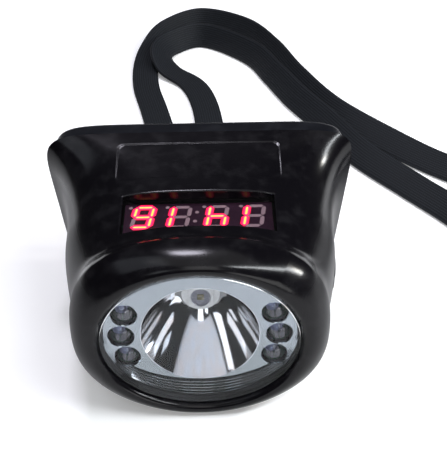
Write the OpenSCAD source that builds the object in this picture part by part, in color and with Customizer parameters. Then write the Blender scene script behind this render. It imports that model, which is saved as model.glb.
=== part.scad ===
// Cordless miner's cap lamp: a flared, moulded housing with an oval reflector,
// a display on top, a back cover with a cap clip, and a woven lanyard.
// Local places are measured from the centre of the rear rim on the lens axis:
// forward is -Y, up is +Z. place() moves them so that the underside is Z = 0.

/* [Housing] */
// Width across the rear rim
rim_w = 70.6; // [68:0.2:76]
// Rise of the rim above the lens axis
rim_rise = 21.7; // [21:0.1:25]
// Height of the lens axis above the underside
axis_h = 20; // [19.6:0.1:22]
// Width of the body behind the bezel
waist_w = 57.6; // [55:0.2:62]
// Lowest rise of the top face, just behind the brow
waist_rise = 17.9; // [17.5:0.1:20]
// Distance behind which the rim flares out
flare_l = 5.5; // [4:0.5:10]
// Length from the rim to the front of the bezel
body_l = 45.9; // [45:0.2:52]
// Width of the bezel at its shoulder
bezel_w = 51.6; // [50:0.2:58]
// Rise of the brow over the lens
brow_rise = 20.6; // [19.8:0.1:23]
// Length of the rounded nose
nose_l = 6.5; // [6:0.5:8]
// Narrowing of the rim towards its underside, as a share of its width
rim_taper = 0.14; // [0.05:0.01:0.16]
// Distance over which that narrowing fades out
taper_l = 6; // [4:0.5:10]
// Squareness of the rim's corners
rim_square = 8; // [6:0.5:10]
// Squareness of the body's cross-section
body_square = 2.8; // [2.4:0.1:3.6]
// Wall thickness of the housing
wall = 2.2; // [1.6:0.1:2.6]
// Width of the flat land on the rim
rim_land = 4; // [3.6:0.1:5]

/* [Lens and reflector] */
// Width of the lens opening
lens_w = 40.2; // [38:0.2:42]
// Height of the lens opening
lens_h = 33.4; // [32:0.2:34]
// Thickness of the lens
lens_t = 1.5; // [1.2:0.1:1.8]
// Thickness of the lens seal
lens_seal_t = 0.3; // [0.2:0.1:0.6]
// Step from the side of the lens opening in to the visible reflector plate
plate_side = 1.7; // [1.4:0.1:2]
// Step from the top of the lens opening in to the visible reflector plate
plate_edge = 4.9; // [4.4:0.1:5]
// Thickness of the reflector plate and cup
plate_t = 1.2; // [1:0.1:1.6]
// Diameter of the reflector cup at its mouth
cup_d = 23.4; // [22:0.2:23.6]
// Depth of the reflector cup
cup_l = 12.5; // [10:0.5:14]
// Diameter of the hole at the cup's base
cup_hole_d = 8; // [7:0.2:9]
// Diameter of a signal LED
led_d = 5; // [4.6:0.1:5]
// Shift of the middle signal LED outwards from halfway between cup and plate edge
led_shift = 0.55; // [0.3:0.05:0.7]
// Step of the outer signal LEDs inwards from the middle one
led_bow = 0.9; // [0.5:0.1:1]
// Height step between signal LEDs
led_pitch = 5.4; // [5.3:0.1:5.8]
// Height of a signal LED's dome in front of the plate
led_proud = 0.6; // [0.3:0.1:0.7]

/* [Display] */
// Width of the display window
window_w = 31.1; // [30.8:0.1:32]
// Length of the display window
window_l = 11.2; // [10.4:0.1:11.6]
// Distance of the window's middle from the rim
window_s = 25; // [24:0.1:27]
// Tilt of the window towards the lens
window_tilt = 4; // [3:0.5:6]
// Depth of the window pane below the top face
window_recess = 1.8; // [1.8:0.1:2.2]
// Thickness of the window pane
pane_t = 0.8; // [0.8:0.1:1.2]
// Width of the display module
display_w = 30.2; // [29:0.1:30.6]
// Length of the display module
display_l = 10; // [9.5:0.1:10.3]
// Depth of the display module
display_t = 6.1; // [5:0.1:6.4]
// Height of a digit
digit_h = 7.2; // [6:0.1:7.4]
// Shift of the digits towards the rim
digit_shift = 0.6; // [0:0.1:1]
// Width of a digit
digit_w = 4.3; // [3.6:0.1:4.6]
// Distance between digits
digit_pitch = 7.55; // [7:0.05:7.6]
// Thickness of a digit's segment
segment_t = 0.85; // [0.6:0.05:1]
// Width of the label panel
panel_w = 35; // [30:0.5:38]
// Length of the label panel
panel_l = 10.8; // [9:0.1:12]
// Distance of the panel's middle from the rim
panel_s = 9.1; // [8:0.1:11]
// Depth of the label panel
panel_recess = 0.35; // [0.2:0.05:0.5]

/* [Back cover] */
// Depth of the back cover
cover_d = 8; // [7.5:0.1:10]
// Step from the rim in to the cover
cover_step = 1.2; // [0.6:0.1:1.4]
// Thickness of the cover's side wall
cover_wall = 3; // [2.8:0.1:3.4]
// Thickness of the cover's rear wall
cover_floor = 2; // [1.6:0.1:2.4]
// Radius of the cover's rear edge
cover_edge_r = 2.4; // [1.5:0.1:2.6]
// Width of the cover's seal
seal_w = 1.2; // [0.8:0.1:1.4]
// Depth of the cover's seal
seal_d = 1; // [0.6:0.1:1.4]
// Distance of the cover screws in from the seal and the body's wall
screw_margin = 2; // [1.6:0.1:2.2]
// Height of the upper cover screws above the axis
screw_up = 13; // [12.5:0.1:13.4]
// Depth of the lower cover screws below the axis
screw_down = 12; // [11.6:0.1:12.6]

/* [Clip and lanyard] */
// Width of the cap clip's base
clip_w = 26; // [25:0.5:28]
// Thickness of the clip's steel
clip_t = 1.2; // [1:0.1:1.5]
// Height of the raised pad under the clip
clip_pad = 1.5; // [1:0.1:2]
// Gap behind the clip's tongue
clip_gap = 4.6; // [4.4:0.1:5.5]
// Length of the clip's tongue
tongue_l = 22; // [18:0.5:23]
// Width of the clip's tongue
tongue_w = 15; // [12:0.5:16]
// Diameter of the lanyard bar
bar_d = 2.5; // [2:0.1:3]
// Clear length of the lanyard bar between its ears
bar_l = 25; // [23:0.5:28]
// Width of the strap
strap_w = 9; // [8:0.5:11]
// Thickness of the strap
strap_t = 1.4; // [1:0.1:1.6]

/* [Battery and boards] */
// Gap between the battery and the screw bosses
battery_gap = 0.7; // [0.5:0.1:3]
// Gap under the battery
battery_under = 0.8; // [0.4:0.1:2]
// Thickness of the battery
battery_t = 10; // [8:0.1:10.4]
// Thickness of a circuit board
board_t = 1.6; // [1.2:0.1:1.6]
// Gap between the control board and the screw bosses
board_gap = 0.7; // [0.5:0.1:1.5]
// Step from the battery's top to the control board's top
board_step = 1; // [0.5:0.1:2]

/* [Push button] */
// Diameter of the push button
button_d = 7; // [6:0.1:8]
// Travel of the push button
button_travel = 1; // [0.6:0.1:1.2]
// Distance of the button from the rim
button_s = 17; // [16.5:0.1:18]
// Depth of the button below the lens axis
button_down = 3; // [2:0.1:4]

/* [Hidden] */

// Points round one cross-section of the housing
ring_n = 72;
// Running clearance between a shaft and its bore
run_gap = 0.05;
// Assembly clearance between a piece and its seat
fit_gap = 0.1;
// Small overlap that carries a cut past a surface
over = 1;
// Depth of the flat cut across the underside
foot_flat = 0.25;

// --- shape functions -------------------------------------------------------
function mix(a, b, t) = a + (b - a)*t;
function clamp(t) = min(1, max(0, t));
function ease(t) = let(u = clamp(t)) u*u*(3 - 2*u);
function power(v, e) = sign(v)*pow(abs(v), e);
// Oval ring at distance s forward: half width, rise, drop, squareness and narrowing downwards
function oval(s, a, up, down, n = 2, taper = 0) = [for (i = [0:ring_n - 1])
    let(t = 360*i/ring_n, z = (sin(t) >= 0 ? up : down)*power(sin(t), 2/n))
    [a*power(cos(t), 2/n)*(1 - taper*(up - z)/(up + down)), -s, z]];

shoulder_s = body_l - nose_l;
dip_s = shoulder_s - 6.4;
taper_s = shoulder_s/2;
square_l = 6;
shoulder_square = 2.5;
function half_w(s) = waist_w/2 + (rim_w - waist_w)/2*exp(-s/flare_l)
    - (waist_w - bezel_w)/2*ease((s - taper_s)/(shoulder_s - taper_s));
function rise(s) = s < dip_s ? mix(rim_rise, waist_rise, sin(90*s/dip_s))
    : mix(waist_rise, brow_rise, ease((s - dip_s)/(shoulder_s - dip_s)));
function square(s) = mix(body_square + (rim_square - body_square)*exp(-s/square_l),
    shoulder_square, ease((s - taper_s)/(shoulder_s - taper_s)));
drop = axis_h + foot_flat;
function wall_at(s) = mix(rim_land, wall, ease(s/square_l));
function taper(s) = rim_taper*exp(-s/taper_l);
function body_ring(s, t) = oval(s, half_w(s) - t, rise(s) - t, drop - t, square(s), taper(s));

// --- depths along the lens axis, forward from the rim -------------------------
lip_r = 1.2;
lip_s = body_l - lip_r;
lens_front_s = lip_s + 0.2;
lens_back_s = lens_front_s - lens_t;
spacer_front_s = lens_back_s - lens_seal_t;
spacer_t = 0.5;
plate_s = spacer_front_s - spacer_t;
cup_base_s = plate_s - cup_l;
star_t = 1.6;
star_s = cup_base_s - star_t;
sink_t = 3;
sink_s = star_s - sink_t;
led_l = 8.6;
led_board_s = plate_s + led_proud - led_l;
pocket_margin = 1.5;
pocket_a = lens_w/2 + pocket_margin;
pocket_b = lens_h/2 + 1.1;
pocket_s = plate_s - 3.5;
cavity_s = pocket_s - 4;
plate_w = lens_w - 2*plate_side;
plate_h = lens_h - 2*plate_edge;
led_mid_x = (plate_w/2 + cup_d/2)/2 + led_shift;
led_end_x = led_mid_x - led_bow;

// Sections of the nose: out and over the lip, then in to the opening
nose_steps = 7;
lip_steps = 3;
outer_stops = [0, 1, 2.5, 4.5, 7, 10, 13.5, 17.5, 21.5, 25.5, 29, dip_s, 35, 37.2];
cavity_stops = [26, 20, 14, 9, 6, 4, 2, 0];
function nose_ring(k) = let(q = 90*k/nose_steps, s = shoulder_s + nose_l*sin(q),
    a = lens_w/2 + lip_r, b = lens_h/2 + lip_r, n = mix(shoulder_square, 2, sin(q)))
    oval(s, mix(a, half_w(shoulder_s), cos(q)), mix(b, brow_rise, cos(q)),
        mix(b, drop, cos(q)), n);
function lip_ring(k) = let(q = 90*k/lip_steps, r = lip_r*(1 - sin(q)))
    plain_oval(lip_s + lip_r*cos(q), lens_w/2 + r, lens_h/2 + r);
function plain_oval(s, a, b) = oval(s, a, b, b);

// --- helpers --------------------------------------------------------------
rear_l = cover_d + clip_pad + clip_gap + 2*clip_t;
module place() { translate([0, (body_l - rear_l)/2, axis_h]) children(); }
// A piece made along +Z is turned to point back from a plane s forward of the rim
module backward(s, x = 0, z = 0) { translate([x, -s, z]) rotate([-90, 0, 0]) children(); }
module at_window() {
    translate([0, -window_s, rise(window_s)]) rotate([window_tilt, 0, 0]) children();
}
module at_panel() {
    tilt = atan((rise(panel_s - 1) - rise(panel_s + 1))/2);
    translate([0, -panel_s, rise(panel_s)]) rotate([tilt, 0, 0]) children();
}
module at_button() {
    translate([half_w(button_s), -button_s, -button_down]) rotate([0, 90, 0]) children();
}
// Skin over a row of rings, closed on itself, or capped at both ends
module skin(rings, closed) {
    count = len(rings);
    n = len(rings[0]);
    last = closed ? count - 1 : count - 2;
    quads = [for (k = [0:last], i = [0:n - 1]) let(a = k*n, b = (k + 1)%count*n, j = (i + 1)%n)
        each [[a + i, b + i, b + j], [a + i, b + j, a + j]]];
    caps = closed ? [] : [[for (i = [0:n - 1]) i], [for (i = [n - 1:-1:0]) (count - 1)*n + i]];
    polyhedron(points = [for (r = rings) each r], faces = concat(quads, caps), convexity = 8);
}
module oval_plate(a, b, t) {
    linear_extrude(t) polygon([for (i = [0:ring_n - 1]) let(q = 360*i/ring_n) [a*cos(q), b*sin(q)]]);
}
module round_box(size, r) {
    x = size[0]/2 - r;
    y = size[1]/2 - r;
    linear_extrude(size[2]) union() {
        square([2*x, size[1]], center = true);
        square([size[0], 2*y], center = true);
        for (i = [-1, 1], j = [-1, 1]) translate([i*x, j*y]) circle(r = r, $fn = 32);
    }
}
module pan_screw(shank_r, shank_l, head_r, head_h) {
    cylinder(r = shank_r, h = shank_l, $fn = 32);
    translate([0, 0, -head_h]) difference() {
        cylinder(r = head_r, h = head_h, $fn = 48);
        translate([0, 0, -over]) for (q = [0, 90]) rotate(q)
            translate([-head_r*0.6, -head_r*0.11, 0]) cube([head_r*1.2, head_r*0.22, over + head_h*0.5]);
    }
}

// --- housing ----------------------------------------------------------------
screw_r = 1.25;
boss_r = 2.9;
boss_l = 8;
seal_edge = 1;
seal_inset = cover_step + seal_edge;
screw_x = min(waist_w/2 - wall, (rim_w/2 - seal_inset - seal_w)*(1 - rim_taper)) - screw_margin;
screw_places = [for (i = [-1, 1], z = [screw_up, -screw_down]) [i*screw_x, z]];
battery_w = 2*(screw_x - boss_r - battery_gap);
battery_h = 2*(axis_h - cover_step - cover_wall - battery_under);
board_w = 2*(screw_x - boss_r - board_gap);
board_h = battery_h - 2*board_step;
battery_y = 0.8;
battery_front_s = battery_t - (cover_d - cover_floor) + battery_y;
board_s = battery_front_s + battery_y;
small_r = 1;
pilot_r = 0.8;
pilot_l = 4;
post_x = board_w/2 - 4;
post_z = board_h/2 - 2.5;
post_r = 2.2;
post_l = 6;
rib_t = 1.6;
rib_top = waist_rise - wall/2;
rib_low = drop - wall/2;
post_places = [for (i = [-1, 1], j = [-1, 1]) [i*post_x, j*post_z]];
pane_margin = 0.7;
pane_top = -window_recess;
pane_under = pane_top - pane_t;
display_top = pane_under - fit_gap;
display_under = display_top - display_t;
frame_wall = 1.4;
land_top = pane_top - 0.7;
display_post_gap = 1;
display_post_x = window_w/2 + pane_margin + frame_wall/2 + post_r + 0.05;
display_board_t = 1;
display_screw_l = 4;
seat_depth = 1.2;
collar_flange_t = 1;
collar_flange_r = button_d/2 + 2.1;
collar_r = button_d/2 + 1.1;
collar_l = 4.8;
collar_wall = 1.4;
collar_short = 0.6;
button_boss_r = collar_r + collar_wall;
collar_end = -seat_depth - collar_l;

module housing_shell() {
    opening = plain_oval(spacer_front_s, lens_w/2, lens_h/2);
    skin(concat(
        [for (s = outer_stops) body_ring(s, 0)],
        [for (k = [0:nose_steps]) nose_ring(k)],
        [for (k = [1:lip_steps]) lip_ring(k)],
        [opening, plain_oval(spacer_front_s, pocket_a, pocket_b),
            plain_oval(pocket_s, pocket_a, pocket_b), body_ring(cavity_s, wall)],
        [for (s = cavity_stops) body_ring(s, wall_at(s))]), true);
}
module housing_bosses() {
    for (p = screw_places) backward(boss_l, p[0], p[1]) cylinder(r = boss_r, h = boss_l, $fn = 48);
    for (p = post_places) {
        backward(board_s + board_t + post_l, p[0], p[1]) cylinder(r = post_r, h = post_l, $fn = 48);
        translate([p[0] - rib_t/2, -board_s - board_t - post_l, p[1] > 0 ? p[1] : -rib_low])
            cube([rib_t, post_l, (p[1] > 0 ? rib_top : rib_low) - post_z]);
    }
    at_window() {
        inner = [display_w + 2*fit_gap, display_l + 2*fit_gap];
        outer = [window_w + 2*pane_margin + frame_wall, window_l + 2*pane_margin + frame_wall];
        translate([-outer[0]/2, -outer[1]/2, display_under]) difference() {
            cube([outer[0], outer[1], land_top - display_under]);
            translate([(outer[0] - inner[0])/2, (outer[1] - inner[1])/2, -over])
                cube([inner[0], inner[1], land_top - display_under + 2*over]);
        }
        for (i = [-1, 1]) translate([i*display_post_x, 0, display_under])
            cylinder(r = post_r, h = land_top - display_under - display_post_gap, $fn = 48);
    }
    at_button() translate([0, 0, collar_end])
        cylinder(r = button_boss_r, h = collar_l - collar_short, $fn = 64);
}
module front_housing() {
    color([0.07, 0.07, 0.08]) place() difference() {
        union() {
            housing_shell();
            housing_bosses();
        }
        // flat across the underside
        translate([-rim_w, -body_l - over, -axis_h - 2*over]) cube([2*rim_w, body_l + 2*over, 2*over]);
        // screw holes
        for (p = screw_places) backward(boss_l - over, p[0], p[1])
            cylinder(r = screw_r, h = boss_l, $fn = 32);
        for (p = post_places) backward(board_s + board_t + post_l - over, p[0], p[1])
            cylinder(r = small_r, h = post_l, $fn = 32);
        at_window() {
            translate([-window_w/2, -window_l/2, pane_under - over]) cube([window_w, window_l, 2*rim_rise]);
            pane = [window_w + 2*pane_margin + fit_gap, window_l + 2*pane_margin + fit_gap];
            translate([-pane[0]/2, -pane[1]/2, pane_under]) cube([pane[0], pane[1], pane_t]);
            bay = [display_w + 2*fit_gap, display_l + 2*fit_gap];
            translate([-bay[0]/2, -bay[1]/2, display_under - over])
                cube([bay[0], bay[1], pane_under - display_under + over + fit_gap]);
            for (i = [-1, 1]) translate([i*display_post_x, 0, display_under - over])
                cylinder(r = small_r, h = display_screw_l, $fn = 32);
        }
        // label panel, a shallow crowned recess
        at_panel() difference() {
            translate([0, 0, -2*over]) round_box([panel_w, panel_l, 4*over], panel_corner);
            panel_crown();
        }
        at_button() {
            translate([0, 0, -seat_depth]) cylinder(r = collar_flange_r + fit_gap, h = 4*over, $fn = 64);
            translate([0, 0, collar_end - over]) cylinder(r = collar_r, h = collar_l + 2*over, $fn = 64);
        }
    }
}
// Crown of the label panel's floor, a large cylinder along the slope
function crown(s, x) = rise(s)*(1 - pow(1 - pow(x/half_w(s), square(s)), 1/square(s)));
panel_corner = 1.5;
panel_crown_r = (panel_w/2)*(panel_w/2)/(2*crown(panel_s, panel_w/2));
module panel_crown() {
    translate([0, 0, -panel_crown_r - panel_recess]) rotate([90, 0, 0])
        cylinder(r = panel_crown_r, h = panel_l + 2*over, center = true, $fn = 720);
}

// --- back cover -------------------------------------------------------------
clip_screw_x = 10.2;
clip_screw_z = [10, -2];
clip_screw_r = 1.25;
clip_screw_l = 4;
pad_h = 26;
pad_z = 4;
ear_t = 3;
ear_r = 2.9;
bar_z = -12.6;
bar_y = cover_d + 4.2;
contact_inset = 10.3;
contact_x = rim_w/2 - contact_inset;
contact_z = -3;
contact_r = 1.5;
contact_head_r = 3;
contact_head_t = 0.8;
contact_seal_t = 0.5;
contact_seal_r = contact_head_r - 0.4;
contact_nut_r = contact_head_r - 0.5;
contact_nut_t = 0.7;
head_r = 2.2;
head_h = 1.6;
head_sink = 0.2;
floor_fillet = 1.4;
pad_margin = 1;
pad_corner = 3;
function cover_ring(y, inset) = oval(-y, rim_w/2 - inset, rim_rise - inset, axis_h - inset,
    rim_square, rim_taper);
edge_steps = 5;
module cover_shell() {
    inside = cover_step + cover_wall;
    skin(concat(
        [for (k = [edge_steps:-1:0]) let(q = 90*k/edge_steps)
            cover_ring(cover_d - cover_edge_r*(1 - sin(q)), cover_step + cover_edge_r*(1 - cos(q)))],
        [cover_ring(0, cover_step), cover_ring(0, inside),
            cover_ring(cover_d - cover_floor - floor_fillet, inside),
            cover_ring(cover_d - cover_floor, inside + floor_fillet)]), false);
}
module seal_band(inset, w, d) {
    difference() {
        skin([cover_ring(d, inset), cover_ring(0, inset)], false);
        skin([cover_ring(d + over, inset + w), cover_ring(-over, inset + w)], false);
    }
}
module back_cover() {
    color([0.08, 0.08, 0.09]) place() difference() {
        union() {
            cover_shell();
            for (p = screw_places) translate([p[0], 0, p[1]]) rotate([-90, 0, 0])
                cylinder(r = boss_r, h = cover_d - cover_floor/2, $fn = 48);
            translate([0, cover_d - over, pad_z]) rotate([-90, 0, 0])
                round_box([clip_w + 2*pad_margin, pad_h, clip_pad + over], pad_corner);
            for (i = [-1, 1]) translate([i*(bar_l + ear_t)/2 - ear_t/2, 0, bar_z]) {
                translate([0, bar_y, 0]) rotate([0, 90, 0]) cylinder(r = ear_r, h = ear_t, $fn = 48);
                translate([0, cover_d - over, -ear_r]) cube([ear_t, bar_y - cover_d + over, 2*ear_r]);
            }
        }
        seal_band(seal_inset, seal_w, seal_d);
        for (p = screw_places) translate([p[0], -over, p[1]]) rotate([-90, 0, 0]) {
            cylinder(r = screw_r + run_gap, h = cover_d + 2*over, $fn = 32);
            translate([0, 0, over + cover_d - head_h - head_sink])
                cylinder(r = head_r + fit_gap, h = 2*over + head_h, $fn = 48);
        }
        for (i = [-1, 1], z = clip_screw_z) translate([i*clip_screw_x, cover_d + clip_pad + over, z])
            rotate([90, 0, 0]) cylinder(r = clip_screw_r, h = clip_screw_l - clip_t + over, $fn = 32);
        translate([-bar_l, bar_y, bar_z]) rotate([0, 90, 0]) cylinder(r = bar_d/2, h = 2*bar_l, $fn = 48);
        for (i = [-1, 1]) translate([i*contact_x, 0, contact_z]) rotate([-90, 0, 0]) {
            cylinder(r = contact_r, h = cover_d + over, $fn = 48);
            translate([0, 0, cover_d - contact_seal_t]) cylinder(r = contact_seal_r, h = over, $fn = 48);
        }
    }
}
module cover_seal() { color([0.35, 0.35, 0.36]) place() seal_band(seal_inset, seal_w, seal_d); }
module cover_screws() {
    color([0.6, 0.6, 0.62]) place() for (p = screw_places)
        translate([p[0], cover_d - head_sink - head_h, p[1]]) rotate([90, 0, 0])
            pan_screw(screw_r, cover_d - head_h + boss_l - 2*over, head_r, head_h);
}
module charge_contacts() {
    color([0.85, 0.8, 0.6]) place() for (i = [-1, 1]) translate([i*contact_x, cover_d, contact_z])
        rotate([-90, 0, 0]) {
            cylinder(r = contact_head_r, h = contact_head_t, $fn = 64);
            translate([0, 0, -cover_floor - contact_nut_t]) {
                cylinder(r = contact_r, h = cover_floor + 2*contact_nut_t, $fn = 48);
                cylinder(r = contact_nut_r, h = contact_nut_t, $fn = 6);
            }
        }
}
module contact_seals() {
    color([0.12, 0.12, 0.12]) place() for (i = [-1, 1])
        translate([i*contact_x, cover_d - contact_seal_t, contact_z]) rotate([-90, 0, 0]) difference() {
            cylinder(r = contact_seal_r, h = contact_seal_t, $fn = 48);
            translate([0, 0, -over]) cylinder(r = contact_r, h = 3*over, $fn = 48);
        }
}

// --- lens and reflector -------------------------------------------------------
module front_lens() {
    color([0.85, 0.9, 0.95, 0.35]) place() backward(lens_front_s)
        oval_plate(lens_w/2 - fit_gap, lens_h/2 - fit_gap, lens_t);
}
module oval_band(s, a, b, a_in, b_in, t) {
    backward(s) difference() {
        oval_plate(a, b, t);
        translate([0, 0, -over]) oval_plate(a_in, b_in, t + 2*over);
    }
}
led_places = [for (i = [-1, 1], j = [-1, 0, 1]) [i*(j == 0 ? led_mid_x : led_end_x), j*led_pitch]];
led_hole_gap = 0.08;
lens_seal_in = 0.9;
spacer_in = [0.5, 0.9];
module lens_seal() {
    color([0.15, 0.15, 0.15]) place() oval_band(lens_back_s, lens_w/2 - fit_gap, lens_h/2 - fit_gap,
        lens_w/2 - lens_seal_in, lens_h/2 - lens_seal_in, lens_seal_t);
}
module lens_spacer() {
    a = pocket_a - fit_gap;
    b = pocket_b - fit_gap;
    color([0.85, 0.86, 0.88]) place() difference() {
        skin([plain_oval(plate_s, a, b), plain_oval(spacer_front_s, a, b),
            plain_oval(spacer_front_s, lens_w/2 - spacer_in[0], lens_h/2 - spacer_in[1]),
            plain_oval(plate_s, plate_w/2, plate_h/2)], true);
        // cleared of the outer signal LEDs
        for (p = led_places) backward(spacer_front_s + over, p[0], p[1])
            cylinder(r = led_d/2 + led_hole_gap, h = spacer_t + 2*over, $fn = 48);
    }
}
cup_steps = 14;
cup_focus = ((cup_d/2)*(cup_d/2) - (cup_hole_d/2)*(cup_hole_d/2))/cup_l;
function cup_r(h) = sqrt((cup_hole_d/2)*(cup_hole_d/2) + cup_focus*h);
plate_margin = 3;
refl_post_r = 1.7;
refl_post_in = 0.6;
refl_post_turn = 43.3;
refl_post_ring = cup_d/2 + plate_t + refl_post_r - refl_post_in;
refl_posts = [for (i = [-1, 1], j = [-1, 1])
    [i*refl_post_ring*cos(refl_post_turn), j*refl_post_ring*sin(refl_post_turn)]];
star_w = 24;
star_h = 12;
star_post_x = star_w/2 - 2.5;
star_post_r = 1.6;
module reflector() {
    back_s = led_board_s;
    color([0.85, 0.86, 0.88]) place() difference() {
        union() {
            difference() {
                backward(plate_s) oval_plate(plate_w/2 + plate_margin, plate_h/2 + plate_margin, plate_t);
                backward(plate_s + over) cylinder(r = cup_d/2, h = plate_t + 2*over, $fn = 96);
            }
            backward(plate_s) rotate([180, 0, 0]) translate([0, 0, -cup_l]) rotate_extrude($fn = 96)
                polygon(concat([for (k = [0:cup_steps]) let(h = cup_l*k/cup_steps) [cup_r(h), h]],
                    [for (k = [cup_steps:-1:0]) let(h = cup_l*k/cup_steps) [cup_r(h) + plate_t, h]]));
            for (p = refl_posts) backward(plate_s - plate_t/2, p[0], p[1])
                cylinder(r = refl_post_r, h = plate_s - plate_t/2 - back_s, $fn = 40);
            for (i = [-1, 1]) backward(plate_s - plate_t/2, i*star_post_x)
                cylinder(r = star_post_r, h = plate_s - plate_t/2 - cup_base_s, $fn = 40);
        }
        for (p = led_places) backward(plate_s + over, p[0], p[1])
            cylinder(r = led_d/2 + led_hole_gap, h = 4*over, $fn = 48);
        for (p = refl_posts) backward(back_s + pilot_l, p[0], p[1])
            cylinder(r = pilot_r, h = pilot_l + over, $fn = 24);
        for (i = [-1, 1]) backward(cup_base_s + pilot_l, i*star_post_x)
            cylinder(r = pilot_r, h = pilot_l + over, $fn = 24);
        // inside of the cup, cleared of the posts that stand beside it
        backward(plate_s + over) rotate([180, 0, 0]) translate([0, 0, -cup_l - over]) rotate_extrude($fn = 96)
            polygon(concat([[0, -over], [cup_hole_d/2, -over]],
                [for (k = [0:cup_steps]) let(h = cup_l*k/cup_steps) [cup_r(h), h]],
                [[cup_d/2, cup_l + over], [0, cup_l + over]]));
    }
}
module led_star_board() {
    color([0.9, 0.9, 0.88]) place() difference() {
        translate([-star_w/2, -star_s - star_t, -star_h/2]) cube([star_w, star_t, star_h]);
        for (i = [-1, 1]) backward(cup_base_s + over, i*star_post_x)
            cylinder(r = pilot_r + run_gap, h = star_t + 2*over, $fn = 24);
    }
}
main_led_w = 5;
main_led_t = 0.8;
dome_r = 2.2;
dome_base = 0.5;
dome_rise = 2;
module main_led() {
    color([0.95, 0.9, 0.6]) place() {
        translate([-main_led_w/2, -cup_base_s - main_led_t, -main_led_w/2])
            cube([main_led_w, main_led_t, main_led_w]);
        translate([0, -cup_base_s - main_led_t, 0]) rotate([90, 0, 0]) rotate_extrude($fn = 48)
            polygon([[0, 0], [dome_r, 0],
                for (k = [0:6]) let(q = 15*k) [dome_r*cos(q), dome_base + dome_rise*sin(q)]]);
    }
}
fin_l = 3;
fin_t = 1;
fin_pitch = 3;
fin_places = [for (i = [-2:2]) i*fin_pitch];
pilot_screw_l = 3.5;
small_head = [1.6, 1.1];
module heat_sink() {
    color([0.7, 0.71, 0.73]) place() difference() {
        union() {
            translate([-star_w/2, -star_s, -star_h/2]) cube([star_w, sink_t, star_h]);
            for (x = fin_places) translate([x - fin_t/2, -star_s + sink_t - fin_t, -star_h/2])
                cube([fin_t, fin_l + fin_t, star_h]);
        }
        for (i = [-1, 1]) backward(star_s + over, i*star_post_x)
            cylinder(r = pilot_r + run_gap, h = sink_t + 2*over, $fn = 24);
    }
}
module heat_sink_screws() {
    color([0.6, 0.6, 0.62]) place() for (i = [-1, 1])
        translate([i*star_post_x, -sink_s, 0]) rotate([90, 0, 0])
            pan_screw(pilot_r, sink_t + star_t + pilot_screw_l, small_head[0], small_head[1]);
}

// --- signal LEDs ------------------------------------------------------------
pin_r = 0.25;
pin_x = 1.27;
pin_tail = 0.8;
led_board_gap = 0.5;
led_board_more = 1.6;
led_board_ring = 1.4;
led_board_hole_r = star_post_x + star_post_r + led_board_gap;
module signal_leds() {
    color([0.9, 0.93, 0.96, 0.6]) place() for (p = led_places)
        backward(led_board_s, p[0], p[1]) rotate([180, 0, 0]) {
            rotate_extrude($fn = 48) polygon(concat([[0, 0], [led_d/2, 0]],
                [for (k = [0:6]) let(q = 15*k) [led_d/2*cos(q), led_l - led_d/2 + led_d/2*sin(q)]]));
            for (j = [-1, 1]) translate([j*pin_x, 0, -board_t - pin_tail])
                cylinder(r = pin_r, h = board_t + pin_tail + fit_gap, $fn = 16);
        }
}
module signal_led_board() {
    color([0.1, 0.35, 0.2]) place() difference() {
        backward(led_board_s)
            oval_plate(plate_w/2 + led_board_more, led_board_hole_r + led_board_ring, board_t);
        backward(led_board_s + over) cylinder(r = led_board_hole_r, h = board_t + 2*over, $fn = 64);
        for (p = refl_posts) backward(led_board_s + over, p[0], p[1])
            cylinder(r = pilot_r + run_gap, h = board_t + 2*over, $fn = 24);
        for (p = led_places, j = [-1, 1]) backward(led_board_s + over, p[0] + j*pin_x, p[1])
            cylinder(r = pin_r + run_gap, h = board_t + 2*over, $fn = 16);
    }
}
module signal_board_screws() {
    color([0.6, 0.6, 0.62]) place() for (p = refl_posts)
        translate([p[0], -led_board_s + board_t, p[1]]) rotate([90, 0, 0])
            pan_screw(pilot_r, board_t + pilot_screw_l, small_head[0], small_head[1]);
}

// --- display ----------------------------------------------------------------
module display_window() {
    color([0.25, 0.05, 0.06, 0.4]) place() at_window()
        translate([-window_w/2 - pane_margin, -window_l/2 - pane_margin, pane_under])
            cube([window_w + 2*pane_margin, window_l + 2*pane_margin, pane_t]);
}
pin_pitch = 2.54;
pin_edge = 1.2;
pin_places = [for (i = [-3:2], j = [-1, 1]) [(i + 0.5)*pin_pitch, j*(display_l/2 - pin_edge)]];
module display_module() {
    color([0.12, 0.11, 0.11]) place() at_window() {
        translate([-display_w/2, -display_l/2, display_under]) cube([display_w, display_l, display_t]);
        for (p = pin_places) translate([p[0], p[1], display_under - display_board_t - pin_tail])
            cylinder(r = pin_r, h = display_board_t + pin_tail, $fn = 16);
    }
}
inlay_t = 0.08;
digit_slant = 8;
segment_gap = 0.12;
dot_gap = 0.9;
colon_place = [0.5, 1.4];
// Which segments of each digit are lit, from the reader's left: top, upper right,
// lower right, bottom, lower left, upper left, middle
lit = [[0, 1, 1, 0, 0, 0, 0], [0, 1, 1, 0, 0, 1, 1], [0, 1, 1, 0, 0, 0, 0], [1, 0, 1, 1, 1, 1, 1]];
colon_lit = false;
bar_a = digit_w/2 - segment_t/2;
bar_b = digit_h/2 - segment_t/2;
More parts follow.
